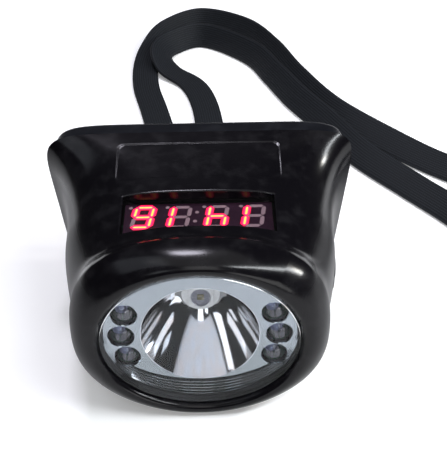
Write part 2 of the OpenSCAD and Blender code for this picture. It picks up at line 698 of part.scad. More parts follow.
// Middle, half length and direction of each segment
segments = [[0, bar_b, bar_a, 0], [bar_a, bar_b/2, bar_b/2, 90], [bar_a, -bar_b/2, bar_b/2, 90],
    [0, -bar_b, bar_a, 0], [-bar_a, -bar_b/2, bar_b/2, 90], [-bar_a, bar_b/2, bar_b/2, 90], [0, 0, bar_a, 0]];
function slanted(p) = [p[0] + p[1]*tan(digit_slant), p[1]];
module segment(g) {
    t = segment_t/2;
    l = g[2] - segment_gap;
    outline = [[-l, 0], [-l + t, t], [l - t, t], [l, 0], [l - t, -t], [-l + t, -t]];
    polygon([for (p = outline) slanted(g[3] == 0 ? [g[0] + p[0], g[1] + p[1]] : [g[0] - p[1], g[1] + p[0]])]);
}
module digit_inlays(on) {
    at_window() rotate(180) translate([0, -digit_shift, display_top]) linear_extrude(inlay_t) {
        for (d = [0:3]) translate([(d - 1.5)*digit_pitch, 0]) {
            for (k = [0:6]) if ((lit[d][k] == 1) == on) segment(segments[k]);
            if (!on) translate(slanted([digit_w/2 + dot_gap, -bar_b])) circle(r = segment_t/2, $fn = 24);
        }
        if (colon_lit == on) for (j = [-1, 1]) translate(slanted([colon_place[0], j*colon_place[1]]))
            circle(r = segment_t/2, $fn = 24);
    }
}
module display_lit_segments() { color([1, 0.15, 0.12]) place() digit_inlays(true); }
module display_unlit_segments() { color([0.55, 0.5, 0.48]) place() digit_inlays(false); }
display_board_w = 2*(display_post_x + post_r);
display_board_l = display_l + 2;
display_head = [1.9, 1.2];
board_head = [1.9, 0.7];
screw_spare = 0.2;
module display_board() {
    color([0.1, 0.35, 0.2]) place() at_window() difference() {
        translate([-display_board_w/2, -display_board_l/2, display_under - display_board_t])
            cube([display_board_w, display_board_l, display_board_t]);
        for (i = [-1, 1]) translate([i*display_post_x, 0, display_under - display_board_t - over])
            cylinder(r = small_r + run_gap, h = display_board_t + 2*over, $fn = 32);
        for (p = pin_places) translate([p[0], p[1], display_under - display_board_t - over])
            cylinder(r = pin_r + run_gap, h = display_board_t + 2*over, $fn = 16);
    }
}
module display_board_screws() {
    color([0.6, 0.6, 0.62]) place() at_window() for (i = [-1, 1])
        translate([i*display_post_x, 0, display_under - display_board_t])
            pan_screw(small_r, display_board_t + display_screw_l - over - screw_spare,
                display_head[0], display_head[1]);
}

// --- control board and battery --------------------------------------------
module control_board() {
    color([0.1, 0.35, 0.2]) place() difference() {
        translate([-board_w/2, -board_s - board_t, -board_h/2]) cube([board_w, board_t, board_h]);
        for (p = post_places) backward(board_s + board_t + over, p[0], p[1])
            cylinder(r = small_r + run_gap, h = board_t + 2*over, $fn = 32);
    }
}
// Lower left corners and sizes of the charger, the controller, the coil and the resistors
charger_place = [-9, -3];
charger_size = [7.5, 6, 1.6];
controller_place = [2, 2];
controller_size = [4, 4, 1.2];
coil_place = [-2, -10];
coil_size = [6, 6, 4];
resistor_place = [-14, -8];
resistor_pitch = 4;
resistor_size = [2, 1.2, 0.8];
capacitor_x = 6.8;
capacitor_r = 1.6;
capacitor_h = 5;
module control_board_parts() {
    color([0.15, 0.15, 0.16]) place() translate([0, -board_s - board_t, 0]) rotate([90, 0, 0]) {
        translate(charger_place) cube(charger_size);
        translate(controller_place) cube(controller_size);
        translate(coil_place) cube(coil_size);
        for (i = [0:3]) translate([resistor_place[0], resistor_place[1] + i*resistor_pitch, 0])
            cube(resistor_size);
        translate([capacitor_x, 0, 0]) cylinder(r = capacitor_r, h = capacitor_h, $fn = 32);
    }
}
module control_board_screws() {
    color([0.6, 0.6, 0.62]) place() for (p = post_places) translate([p[0], -board_s, p[1]]) rotate([90, 0, 0])
        pan_screw(small_r, board_t + post_l - over - screw_spare, board_head[0], board_head[1]);
}
battery_corner = 2.5;
pad_in = 2;
module battery_pack() {
    color([0.2, 0.4, 0.65]) place() translate([0, -battery_front_s, 0]) rotate([-90, 0, 0])
        round_box([battery_w, battery_h, battery_t], battery_corner);
}
module battery_pad() {
    color([0.2, 0.2, 0.2]) place()
        translate([-battery_w/2 + pad_in, cover_d - cover_floor - battery_y, -battery_h/2 + pad_in])
            cube([battery_w - 2*pad_in, battery_y, battery_h - 2*pad_in]);
}
tab_w = 4;
tab_t = 0.2;
tab_x = 8;
tab_l = 3;
module battery_tabs() {
    color([0.75, 0.75, 0.72]) place() for (i = [-1, 1])
        translate([i*tab_x - tab_w/2, -board_s, battery_h/2 - tab_l]) {
            cube([tab_w, tab_t, tab_l + 2*tab_t]);
            translate([0, 0, tab_l]) cube([tab_w, board_s - battery_front_s + tab_l, tab_t]);
        }
}

// --- push button and switch ---------------------------------------------------
button_proud = 0.3;
button_edge = 0.4;
dish_r = 1.6;
dish_d = 0.25;
button_tail = 1.6;
button_inner = collar_end - button_tail;
circlip_t = 0.6;
circlip_w = 1.1;
circlip_mouth = 3.2;
groove_depth = 0.6;
seal_groove_l = 1.2;
seal_groove_z = -seat_depth - 2.6;
stem_r = 1.2;
stem_l = 4.4;
stem_gap = 0.3;
switch_w = 6.2;
switch_t = 4.6;
switch_gap = 2;
switch_edge = 4.5;
switch_board_h = 12;
switch_top = button_inner - switch_gap;
module button_collar() {
    color([0.1, 0.1, 0.1]) place() at_button() difference() {
        union() {
            translate([0, 0, -seat_depth]) cylinder(r = collar_flange_r, h = collar_flange_t, $fn = 64);
            translate([0, 0, collar_end]) cylinder(r = collar_r, h = collar_l, $fn = 64);
        }
        translate([0, 0, collar_end - over])
            cylinder(r = button_d/2 + run_gap, h = collar_l + 4*over, $fn = 64);
    }
}
module push_button() {
    r = button_d/2;
    color([0.16, 0.16, 0.17]) place() at_button() rotate_extrude($fn = 64)
        polygon([[0, button_inner], [r, button_inner], [r, collar_end - circlip_t],
            [r - groove_depth, collar_end - circlip_t], [r - groove_depth, collar_end],
            [r, collar_end], [r, seal_groove_z], [r - groove_depth, seal_groove_z],
            [r - groove_depth, seal_groove_z + seal_groove_l], [r, seal_groove_z + seal_groove_l],
            [r, button_proud - button_edge], [r - button_edge, button_proud], [dish_r, button_proud],
            [0, button_proud - dish_d]]);
}
module button_seal() {
    r = button_d/2;
    color([0.05, 0.05, 0.05]) place() at_button() translate([0, 0, seal_groove_z + seal_groove_l/2])
        rotate_extrude($fn = 64) translate([r - groove_depth/2 + run_gap/2, 0])
            circle(r = groove_depth/2, $fn = 24);
}
module button_circlip() {
    r = button_d/2 - groove_depth;
    color([0.6, 0.6, 0.62]) place() at_button() translate([0, 0, collar_end - circlip_t]) difference() {
        cylinder(r = r + circlip_w, h = circlip_t, $fn = 48);
        translate([0, 0, -over]) cylinder(r = r, h = 3*over, $fn = 48);
        translate([-circlip_mouth/2, 0, -over]) cube([circlip_mouth, 2*r, 3*over]);
    }
}
module switch_stem() {
    color([0.9, 0.9, 0.88]) place() at_button() translate([0, 0, button_inner - stem_l])
        cylinder(r = stem_r, h = stem_l, $fn = 32);
}
module switch_body() {
    color([0.1, 0.1, 0.1]) place() at_button() difference() {
        translate([-switch_w/2, -switch_w/2, switch_top - switch_t]) cube([switch_w, switch_w, switch_t]);
        translate([0, 0, button_inner - stem_l - button_travel - stem_gap])
            cylinder(r = stem_r + run_gap, h = switch_t + 2*over, $fn = 32);
    }
}
module switch_board() {
    board_x = half_w(button_s) + switch_top - switch_t - board_t;
    color([0.1, 0.35, 0.2]) place()
        translate([board_x, -button_s - switch_edge, -button_down - switch_board_h/2])
            cube([board_t, button_s + switch_edge - board_s - board_t, switch_board_h]);
}

// --- cap clip -----------------------------------------------------------------
bend_r = clip_gap/2;
clip_y = cover_d + clip_pad;
clip_top = 12;
tongue_low = clip_top + bend_r + clip_t - tongue_l;
clip_corner = 2.5;
clip_in = 2;
tongue_corner = 3;
finger_w = 7;
finger_l = 10;
finger_slot = 1;
finger_low = tongue_low + 4;
clip_head = [2.2, 1.3];
module cap_clip() {
    color([0.78, 0.79, 0.8]) place() difference() {
        union() {
            // base plate, its corners rounded
            translate([0, clip_y, pad_z]) rotate([-90, 0, 0])
                round_box([clip_w, pad_h - 2*clip_in, clip_t], clip_corner);
            // rolled top and tongue
            translate([-tongue_w/2, clip_y + clip_t + bend_r, clip_top]) rotate([90, 0, 90])
                linear_extrude(tongue_w) difference() {
                    circle(r = bend_r + clip_t, $fn = 64);
                    circle(r = bend_r, $fn = 64);
                    translate([-2*clip_gap, -4*clip_gap]) square([4*clip_gap, 4*clip_gap]);
                }
            translate([0, clip_y + clip_t + clip_gap + clip_t, 0]) rotate([90, 0, 0]) linear_extrude(clip_t)
                polygon([[-tongue_w/2, clip_top], [-tongue_w/2, tongue_low + tongue_corner],
                    [-tongue_w/2 + tongue_corner, tongue_low], [tongue_w/2 - tongue_corner, tongue_low],
                    [tongue_w/2, tongue_low + tongue_corner], [tongue_w/2, clip_top]]);
            translate([-tongue_w/2, clip_y, clip_top - clip_in]) cube([tongue_w, clip_t, clip_in]);
        }
        for (i = [-1, 1], z = clip_screw_z) translate([i*clip_screw_x, clip_y - over, z]) rotate([-90, 0, 0])
            cylinder(r = clip_screw_r + run_gap, h = clip_t + 2*over, $fn = 32);
        // spring finger cut into the tongue
        translate([0, clip_y + clip_gap, finger_low]) {
            for (x = [-finger_w/2, finger_w/2 - finger_slot]) translate([x, 0, 0])
                cube([finger_slot, 2*clip_t + 2*over, finger_l]);
            translate([-finger_w/2, 0, 0]) cube([finger_w, 2*clip_t + 2*over, finger_slot]);
        }
    }
}
module clip_screws() {
    color([0.6, 0.6, 0.62]) place() for (i = [-1, 1], z = clip_screw_z)
        translate([i*clip_screw_x, clip_y + clip_t, z]) rotate([90, 0, 0])
            pan_screw(clip_screw_r, clip_screw_l - screw_spare, clip_head[0], clip_head[1]);
}

// --- lanyard --------------------------------------------------------------------
wrap_x = 5.7;
wrap_r = bar_d/2 + run_gap;
band_y = bar_y + wrap_r + strap_t - fit_gap;
band_h = 8;
band_r = 0.6;
strand_drop = 2;
strand_z = bar_z - strand_drop;
module lanyard_bar() {
    color([0.75, 0.76, 0.78]) place() translate([-bar_l/2 - ear_t, bar_y, bar_z]) rotate([0, 90, 0])
        cylinder(r = bar_d/2, h = bar_l + 2*ear_t, $fn = 48);
}
// The strap's two turns round the bar, and the bight that lies across them
module lanyard_hitch() {
    color([0.06, 0.06, 0.07]) place() {
        for (i = [-1, 1]) translate([i*wrap_x - strap_w/2, bar_y, bar_z]) rotate([90, 0, 90])
            linear_extrude(strap_w) difference() {
                circle(r = wrap_r + strap_t, $fn = 64);
                circle(r = wrap_r, $fn = 64);
            }
        translate([0, band_y + strap_t, bar_z]) rotate([90, 0, 0])
            round_box([2*wrap_x + strap_w, band_h, strap_t], band_r);
    }
}

// Route of the strap from the hitch out along the floor and back to the hitch:
// x, y, turn about its own length from flat (0) to on edge (90) and on, lift off the floor
strap_end = [wrap_x, band_y + strap_t, strand_z + axis_h - strap_t/2];
strap_route = [[-strap_end[0], strap_end[1], 0, strap_end[2]],
    [-6, 26, 0, 2.6], [-8, 43, 0, 0], [-12, 65, 0, 0], [-16.5, 88, 0, 0], [-20, 105, 0, 0],
    [-21, 121, 4, 0], [-19, 133, 24, 0], [-13.5, 145, 57, 0], [-1, 154, 75, 0],
    [15, 144, 67, 0], [24, 126, 56, 0], [30.5, 105, 48, 0], [40.5, 81.5, 40, 0],
    [56.5, 61, 26, 0], [70.5, 46, 22, 0], [88, 30.5, 45, 0], [101, 15.5, 70, 0],
    [101, 0, 85, 0], [89.5, -6.5, 95, 0], [78.5, 1.5, 115, 0], [73, 12.5, 135, 0],
    [66, 25.5, 156, 0], [57.5, 38, 158, 0], [46, 55, 150, 0], [37, 75, 140, 0],
    [29.5, 91, 135, 0], [23.5, 107, 128, 0], [16, 124, 115, 0], [0, 139, 105, 0],
    [-11, 134.5, 120, 0], [-15.5, 125.5, 142, 0.8], [-12.5, 116, 172, 0.5], [-4.5, 106.5, 180, 0],
    [0, 91, 180, 0], [2.5, 66, 180, 0], [4.8, 42, 180, 0], [6, 26, 180, 2.6],
    [strap_end[0], strap_end[1], 180, strap_end[2]]];
strap_runs = len(strap_route) - 1;
strap_parts = 2;
// Points before the first and past the last keep both ends square to the hitch
function route_at(k) = k < 0 ? [strap_route[1][0], 2*strap_route[0][1] - strap_route[1][1], 0, strap_end[2]]
    : k > strap_runs ? [strap_route[strap_runs - 1][0],
        2*strap_route[strap_runs][1] - strap_route[strap_runs - 1][1], 180, strap_end[2]]
    : strap_route[k];
function spline(a, b, c, d, t) = b + (c - a)*t/2 + (2*a - 5*b + 4*c - d)*t*t/2
    + (3*b - 3*c + d - a)*t*t*t/2;
function strap_at(u) = let(k = min(strap_runs - 1, floor(u)), r = spline(route_at(k - 1),
    route_at(k), route_at(k + 1), route_at(k + 2), u - k))
    [r[0], r[1], -axis_h + max(0, r[3]) + strap_w/2*abs(sin(r[2])) + strap_t/2*abs(cos(r[2])), r[2]];
half_section = [[1, 0.4], [1 - 0.6*strap_t/strap_w, 1], [0.6*strap_t/strap_w - 1, 1], [-1, 0.4]];
strap_section = [each half_section, for (q = half_section) -q];
function unit(v) = v/norm(v);
function strap_ring(u) = let(c = strap_at(u), step = 0.01, a = strap_at(max(0, u - step)),
    b = strap_at(min(strap_runs, u + step)), way = (u == 0 || u == strap_runs) ? [0, b[1] - a[1], 0]
        : [b[0] - a[0], b[1] - a[1], b[2] - a[2]],
    t = unit(way), side = unit([-t[1], t[0], 0]), up = cross(t, side),
    wide = side*cos(c[3]) + up*sin(c[3]), thick = cross(t, wide))
    [for (q = strap_section) [c[0], c[1], c[2]] + wide*q[0]*strap_w/2 + thick*q[1]*strap_t/2];
module lanyard_strap() {
    color([0.06, 0.06, 0.07]) place()
        skin([for (k = [0:strap_parts*strap_runs]) strap_ring(k/strap_parts)], false);
}

front_housing();
back_cover();
cover_seal();
front_lens();
lens_seal();
lens_spacer();
reflector();
main_led();
led_star_board();
heat_sink();
heat_sink_screws();
signal_leds();
signal_led_board();
signal_board_screws();
display_window();
display_module();
display_lit_segments();
display_unlit_segments();
display_board();
display_board_screws();
control_board();
control_board_parts();
control_board_screws();
battery_pack();
battery_pad();
battery_tabs();
push_button();
button_seal();
button_collar();
button_circlip();
switch_body();
switch_stem();
switch_board();
charge_contacts();
contact_seals();
cover_screws();
cap_clip();
clip_screws();
lanyard_bar();
lanyard_hitch();
lanyard_strap();
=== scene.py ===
"""Cordless miner's cap lamp: the looks of every piece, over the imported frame.

Lengths are written in millimetres and turned to metres by MM. Places on the
lamp are given as on its drawing: s is the distance forward of the rear rim,
x is to the lamp's left and z is the height over the lens axis.
"""
import math
import bmesh
import bpy
import numpy as np
from mathutils import Matrix, Vector


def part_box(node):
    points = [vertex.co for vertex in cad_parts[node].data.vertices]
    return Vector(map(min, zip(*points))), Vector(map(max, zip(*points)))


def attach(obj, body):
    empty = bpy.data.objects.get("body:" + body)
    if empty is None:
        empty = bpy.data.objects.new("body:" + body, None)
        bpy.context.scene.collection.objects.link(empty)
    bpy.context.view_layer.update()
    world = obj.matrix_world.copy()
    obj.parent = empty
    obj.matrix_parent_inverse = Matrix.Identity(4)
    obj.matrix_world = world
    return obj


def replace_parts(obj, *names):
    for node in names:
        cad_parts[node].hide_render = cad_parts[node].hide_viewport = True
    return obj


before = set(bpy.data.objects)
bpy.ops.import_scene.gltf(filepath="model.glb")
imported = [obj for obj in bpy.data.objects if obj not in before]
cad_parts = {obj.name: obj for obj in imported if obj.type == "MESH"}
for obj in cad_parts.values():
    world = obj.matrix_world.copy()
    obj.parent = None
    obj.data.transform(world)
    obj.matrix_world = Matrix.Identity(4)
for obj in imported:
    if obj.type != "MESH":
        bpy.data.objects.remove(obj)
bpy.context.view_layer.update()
MM = 0.001

# --- the lamp's sizes -------------------------------------------------------
BODY_L, AXIS_H = 45.9, 20.0
COVER_D, CLIP_PAD, CLIP_GAP, CLIP_T = 8.0, 1.5, 4.6, 1.2
REAR_L = COVER_D + CLIP_PAD + CLIP_GAP + 2 * CLIP_T
RIM_Y = (BODY_L - REAR_L) / 2            # the rim's place in the frame
RIM_W, RIM_RISE, WAIST_W, WAIST_RISE = 70.6, 21.7, 57.6, 17.9
FLARE_L, BEZEL_W, BROW_RISE, NOSE_L = 5.5, 51.6, 20.6, 6.5
RIM_TAPER, TAPER_L, RIM_SQUARE, BODY_SQUARE = 0.14, 6.0, 8.0, 2.8
SQUARE_L, SHOULDER_SQUARE, FOOT_FLAT = 6.0, 2.5, 0.25
WALL, RIM_LAND, LIP_R = 2.2, 4.0, 1.2
LENS_W, LENS_H, LENS_T, LENS_SEAL_T = 40.2, 33.4, 1.5, 0.3
PLATE_W, PLATE_H, PLATE_T, PLATE_MARGIN = 36.8, 23.6, 1.2, 3.0
CUP_D, CUP_L, CUP_HOLE_D = 23.4, 12.5, 8.0
LED_D, LED_L, LED_MID_X, LED_END_X, LED_PITCH, LED_PROUD = 5.0, 8.6, 15.6, 14.7, 5.4, 0.6
WINDOW_W, WINDOW_L, WINDOW_S, WINDOW_TILT = 31.1, 11.2, 25.0, 4.0
WINDOW_RECESS, PANE_T, PANE_MARGIN = 1.8, 0.8, 0.7
PANEL_W, PANEL_L, PANEL_S, PANEL_RECESS, PANEL_R = 35.0, 10.8, 9.1, 0.13, 1.5
DIGIT_H, DIGIT_W, DIGIT_PITCH, SEGMENT_T, DIGIT_SLANT, DIGIT_SHIFT = 7.2, 4.3, 7.55, 0.85, 8.0, 0.6
BUTTON_S, BUTTON_DOWN, BUTTON_D = 17.0, 3.0, 7.0
STRAP_W, STRAP_T = 9.0, 1.4
DIP_L, LENS_PROUD, SPACER_T = 6.4, 0.2, 0.5
POCKET_SIDE, POCKET_OVER, POCKET_L, POCKET_STEP_L = 1.5, 1.1, 3.5, 4.0
LED_HOLE_GAP, BUTTON_GAP, COLLAR_W = 0.08, 1.1, 2.2

SHOULDER_S = BODY_L - NOSE_L
DIP_S = SHOULDER_S - DIP_L
TAPER_S = SHOULDER_S / 2
DROP = AXIS_H + FOOT_FLAT
LIP_S = BODY_L - LIP_R
LENS_FRONT_S = LIP_S + LENS_PROUD
LENS_BACK_S = LENS_FRONT_S - LENS_T
SPACER_FRONT_S = LENS_BACK_S - LENS_SEAL_T
PLATE_S = SPACER_FRONT_S - SPACER_T
CUP_BASE_S = PLATE_S - CUP_L
LED_BOARD_S = PLATE_S + LED_PROUD - LED_L
POCKET_A, POCKET_B = LENS_W / 2 + POCKET_SIDE, LENS_H / 2 + POCKET_OVER
POCKET_S = PLATE_S - POCKET_L
CAVITY_S = POCKET_S - POCKET_STEP_L


def at(x, s, z):
    """A point of the lamp's drawing, in metres in the frame."""
    return (x * MM, (RIM_Y - s) * MM, (z + AXIS_H) * MM)


def placed(rings):
    """Rings of places (x, s, z) as points of the frame."""
    return [[at(*p) for p in ring] for ring in rings]


def lerp(a, b, t):
    return a + (b - a) * t


def ease(t):
    u = np.clip(t, 0, 1)
    return u * u * (3 - 2 * u)


def around(count):
    """Angles at even steps round a circle."""
    return np.linspace(0, 2 * math.pi, count, endpoint=False)


def in_scene(name, data):
    """A new object of the scene that holds the data."""
    obj = bpy.data.objects.new(name, data)
    bpy.context.scene.collection.objects.link(obj)
    return obj


# --- camera -----------------------------------------------------------------
CAMERA_PLACE = (4.43, -159.95, 139.35)
CAMERA_TURNS = (-0.23, 35.17, -1.02)     # azimuth, elevation and roll in degrees
SENSOR_W, FOCAL_L, NEAREST, FARTHEST = 36.0, 72.0, 0.005, 10


def aim_camera():
    """Camera in front of and above the lens, looking down at the top face."""
    azimuth, elevation, roll = (math.radians(v) for v in CAMERA_TURNS)
    forward = Vector((-math.sin(azimuth) * math.cos(elevation),
                      math.cos(azimuth) * math.cos(elevation), -math.sin(elevation)))
    level = Vector((math.cos(azimuth), math.sin(azimuth), 0))
    upright = level.cross(forward)
    right = level * math.cos(roll) + upright * math.sin(roll)
    up = upright * math.cos(roll) - level * math.sin(roll)
    data = bpy.data.cameras.new("view")
    data.sensor_width, data.sensor_fit, data.lens = SENSOR_W, "AUTO", FOCAL_L
    data.clip_start, data.clip_end = NEAREST, FARTHEST
    camera = in_scene("view", data)
    turn = Matrix((right, up, -forward)).transposed().to_4x4()
    camera.matrix_world = Matrix.Translation([v * MM for v in CAMERA_PLACE]) @ turn
    bpy.context.scene.camera = camera


aim_camera()


# --- shader arithmetic --------------------------------------------------------
class Signal:
    """A number that varies over a surface, for use in Python expressions."""

    def __init__(self, finish, socket):
        self.finish, self.socket = finish, socket

    def _with(self, operation, a, b=None):
        values = {0: a} if b is None else {0: a, 1: b}
        return self.finish.node("ShaderNodeMath", {"operation": operation}, values).out(0)

    def __add__(self, other):
        return self._with("ADD", self, other)

    def __radd__(self, other):
        return self._with("ADD", other, self)

    def __sub__(self, other):
        return self._with("SUBTRACT", self, other)

    def __rsub__(self, other):
        return self._with("SUBTRACT", other, self)

    def __mul__(self, other):
        return self._with("MULTIPLY", self, other)

    def __rmul__(self, other):
        return self._with("MULTIPLY", other, self)

    def wave(self):
        return self._with("SINE", self)

    def cut(self, level):
        return self._with("GREATER_THAN", self, level)

    def least(self, other):
        return self._with("MINIMUM", self, other)

    def soft(self, low, high, to_low=0.0, to_high=1.0):
        return self.finish.node("ShaderNodeMapRange", {"interpolation_type": "SMOOTHSTEP"},
                                {0: self, 1: low, 2: high, 3: to_low, 4: to_high}).out(0)


class Step:
    """One shader node; out() gives its output as a signal."""

    def __init__(self, finish, node):
        self.finish, self.node = finish, node

    def out(self, key):
        return Signal(self.finish, self.node.outputs[key])


class Finish:
    """A material built from nodes around one Principled shader."""

    def __init__(self, name, color, roughness, **sockets):
        self.material = bpy.data.materials.new(name)
        self.material.use_nodes = True
        self.tree = self.material.node_tree
        self.shader = self.tree.nodes["Principled BSDF"]
        self.output = self.tree.nodes["Material Output"]
        self.shader.inputs["Base Color"].default_value = (*color, 1)
        self.shader.inputs["Roughness"].default_value = roughness
        for key, value in sockets.items():
            socket = self.shader.inputs[key.replace("_", " ")]
            socket.default_value = (*value, 1) if isinstance(value, tuple) else value

    def node(self, kind, settings=(), values=()):
        node = self.tree.nodes.new(kind)
        for key, value in dict(settings).items():
            if key == "ramp":
                ramp = node.color_ramp
                while len(ramp.elements) > 1:
                    ramp.elements.remove(ramp.elements[0])
                for k, (place, color) in enumerate(value):
                    stop = ramp.elements[0] if k == 0 else ramp.elements.new(place)
                    stop.position, stop.color = place, (*color, 1)
            else:
                setattr(node, key, value)
        for key, value in dict(values).items():
            self.join(node.inputs[key], value)
        return Step(self, node)

    def join(self, socket, value):
        if isinstance(value, Signal):
            self.tree.links.new(value.socket, socket)
        elif isinstance(value, tuple) and socket.type == "RGBA":
            socket.default_value = (*value, 1)
        else:
            socket.default_value = value

    def set(self, key, signal):
        self.join(self.shader.inputs[key], signal)
        return self

    def place(self):
        return self.node("ShaderNodeTexCoord").out("Object")

    def attribute(self, name):
        return self.node("ShaderNodeAttribute", {"attribute_name": name}).out("Fac")

    def noise(self, size_mm, detail, rough=0.5, stretch=None):
        """Noise whose grains are size_mm across."""
        where = self.place()
        if stretch:
            where = self.node("ShaderNodeVectorMath", {"operation": "MULTIPLY"},
                              {0: where, 1: stretch}).out(0)
        return self.node("ShaderNodeTexNoise", (), {"Vector": where, "Scale": 1 / (size_mm * MM),
                         "Detail": detail, "Roughness": rough}).out("Fac")

    def blend(self, mask, a, b):
        return self.node("ShaderNodeMix", {"data_type": "RGBA"}, {0: mask, 6: a, 7: b}).out(2)

    def relief(self, height, depth_mm, strength):
        """Bump of the given depth."""
        bump = self.node("ShaderNodeBump", (), {"Height": height, "Distance": depth_mm * MM,
                         "Strength": strength}).out(0)
        return self.set("Normal", bump)


# --- finishes -----------------------------------------------------------------
GRAIN, GRAIN_DEPTH = 0.25, 0.01          # of moulded plastic, in millimetres


def moulded_plastic(name, color, roughness, gloss=0.5, matt=None):
    """Satin moulded plastic: fine grain, faint clouds in its gloss, duller where matt is stored."""
    finish = Finish(name, color, roughness, Specular_IOR_Level=gloss)
    clouds = finish.noise(9, 3)
    gloss_loss = 0.25 * finish.attribute(matt) if matt else 0.0
    finish.set("Roughness", roughness - 0.04 + 0.09 * clouds + gloss_loss)
    lighter = tuple(min(1, c * 1.35 + 0.004) for c in color)
    finish.set("Base Color", finish.blend(finish.noise(3.5, 4).soft(0.45, 0.75), color, lighter))
    finish.relief(finish.noise(GRAIN, 2), GRAIN_DEPTH, 0.6)
    return finish.material


def bare_metal(name, color, roughness, brushed=(1, 1, 1)):
    """Plated or brushed metal with fine scratches along one direction."""
    finish = Finish(name, color, roughness, Metallic=1.0)
    lines = finish.noise(0.6, 4, 0.6, brushed)
    finish.set("Roughness", roughness - 0.06 + 0.14 * lines)
    finish.relief(lines, 0.004, 0.5)
    return finish.material


def soft_rubber(name, color):
    finish = Finish(name, color, 0.62)
    finish.set("Roughness", 0.52 + 0.2 * finish.noise(1.5, 3))
    finish.relief(finish.noise(0.3, 2), 0.01, 0.5)
    return finish.material


def board_mask(name, color):
    """Solder mask: coloured varnish over a fine weave."""
    finish = Finish(name, color, 0.35)
    finish.set("Base Color", finish.blend(finish.noise(0.8, 2), color, tuple(c * 1.5 for c in color)))
    finish.relief(finish.noise(0.35, 1), 0.01, 0.4)
    return finish.material


HOUSING = moulded_plastic("housing_plastic", (0.0025, 0.0022, 0.0032), 0.17, gloss=0.2, matt="flank")
COVER = moulded_plastic("cover_plastic", (0.004, 0.0045, 0.0065), 0.4, gloss=0.14)
DARK = moulded_plastic("dark_plastic", (0.006, 0.006, 0.0065), 0.4)
SEAL = soft_rubber("black_silicone", (0.02, 0.02, 0.02))
GREY_SEAL = soft_rubber("grey_silicone", (0.2, 0.2, 0.21))
BUTTON = soft_rubber("button_rubber", (0.03, 0.03, 0.032))
FOAM = soft_rubber("foam", (0.08, 0.08, 0.08))
STEEL = bare_metal("plated_steel", (0.55, 0.55, 0.57), 0.32)
SPRING_STEEL = bare_metal("spring_steel", (0.5, 0.51, 0.53), 0.3, (1, 1, 0.12))
ALLOY = bare_metal("extruded_alloy", (0.62, 0.63, 0.65), 0.38, (1, 1, 0.1))
NICKEL = bare_metal("nickel_strip", (0.62, 0.6, 0.56), 0.34, (1, 0.1, 1))
GOLD = bare_metal("gold_plating", (0.8, 0.6, 0.28), 0.24)
BOARD = board_mask("green_mask", (0.012, 0.1, 0.045))
WHITE_BOARD = board_mask("white_mask", (0.62, 0.62, 0.6))
CHIPS = moulded_plastic("moulded_package", (0.02, 0.02, 0.02), 0.5)
STEM = moulded_plastic("white_stem", (0.7, 0.7, 0.68), 0.4)
SHRINK = moulded_plastic("battery_film", (0.02, 0.07, 0.22), 0.25)


def mirror_finish():
    """Metallised plastic: the cup bright with warm and cool streaks; the plate round it and the ring's steps
    painted darker, a painted shade read from a stored share.
    """
    finish = Finish("metallised_mirror", (0.6, 0.61, 0.635), 0.06, Metallic=1.0)
    streaks = finish.noise(1.6, 3, 0.6, (1, 0.12, 1)).soft(0.35, 0.65)
    cup = finish.blend(streaks, (0.63, 0.605, 0.59), (0.595, 0.62, 0.645))
    # painted shade: where the stored share is low the mirror takes a dark colour, on the plate and in the
    # ring's steps
    finish.set("Base Color", finish.blend(finish.attribute("polish"), (0.28, 0.3, 0.305), cup))
    finish.set("Roughness", 0.035 + 0.07 * finish.noise(4.0, 3, 0.6))
    return finish.material


def clear_sheet(name, tint, body=0.0, roughness=0.03, gloss=0.04, edge=0.0):
    """A clear part under the gloss of its surface; body clouds it, and edge paints a highlight by making the
    surface more mirror-bright where the edge attribute is stored.
    """
    finish = Finish(name, (1.0, 1.0, 1.0), roughness, Metallic=1.0)
    through = finish.node("ShaderNodeBsdfTransparent", (), {0: tint})
    slant = finish.node("ShaderNodeLayerWeight", (), {0: 0.5}).out(1)
    square = slant * slant
    mirrored = gloss + 0.9 * (square * square * slant)
    # painted highlight: the stored edge adds mirror brightness there
    if edge:
        mirrored = mirrored + edge * finish.attribute("edge")
    smudge = finish.noise(6, 3).soft(0.35, 0.9, 0.0, 0.4 * gloss)
    mixed = finish.node("ShaderNodeMixShader", (), {0: mirrored + body + smudge, 1: through.out(0)})
    finish.tree.links.new(finish.shader.outputs[0], mixed.node.inputs[2])
    finish.tree.links.new(mixed.node.outputs[0], finish.output.inputs[0])
    return finish.material


MIRROR = mirror_finish()
LENS = clear_sheet("clear_lens", (0.97, 0.98, 1.0), gloss=0.008)
# painted highlight: the lens rim is clouded mirror-white so it shows a bright glint line
LENS_RIM_GLINT = clear_sheet("lens_edge", (0.85, 0.87, 0.9), 0.6, 0.12)
EPOXY = clear_sheet("clear_epoxy", (0.72, 0.72, 0.76), 0.03)
# painted highlight: the LEDs' lower rims turn mirror-bright, a painted crescent of light
LED_EPOXY = clear_sheet("led_epoxy", (0.6, 0.63, 0.72), 0.03, edge=0.75)
LEAD_FRAME = bare_metal("lead_frame", (0.36, 0.38, 0.44), 0.3)
SMOKED = clear_sheet("smoked_pane", (0.82, 0.76, 0.8))


COLUMN_W, PICK_L = 0.75, 0.62            # width of a lengthwise cord and length of a rib, millimetres


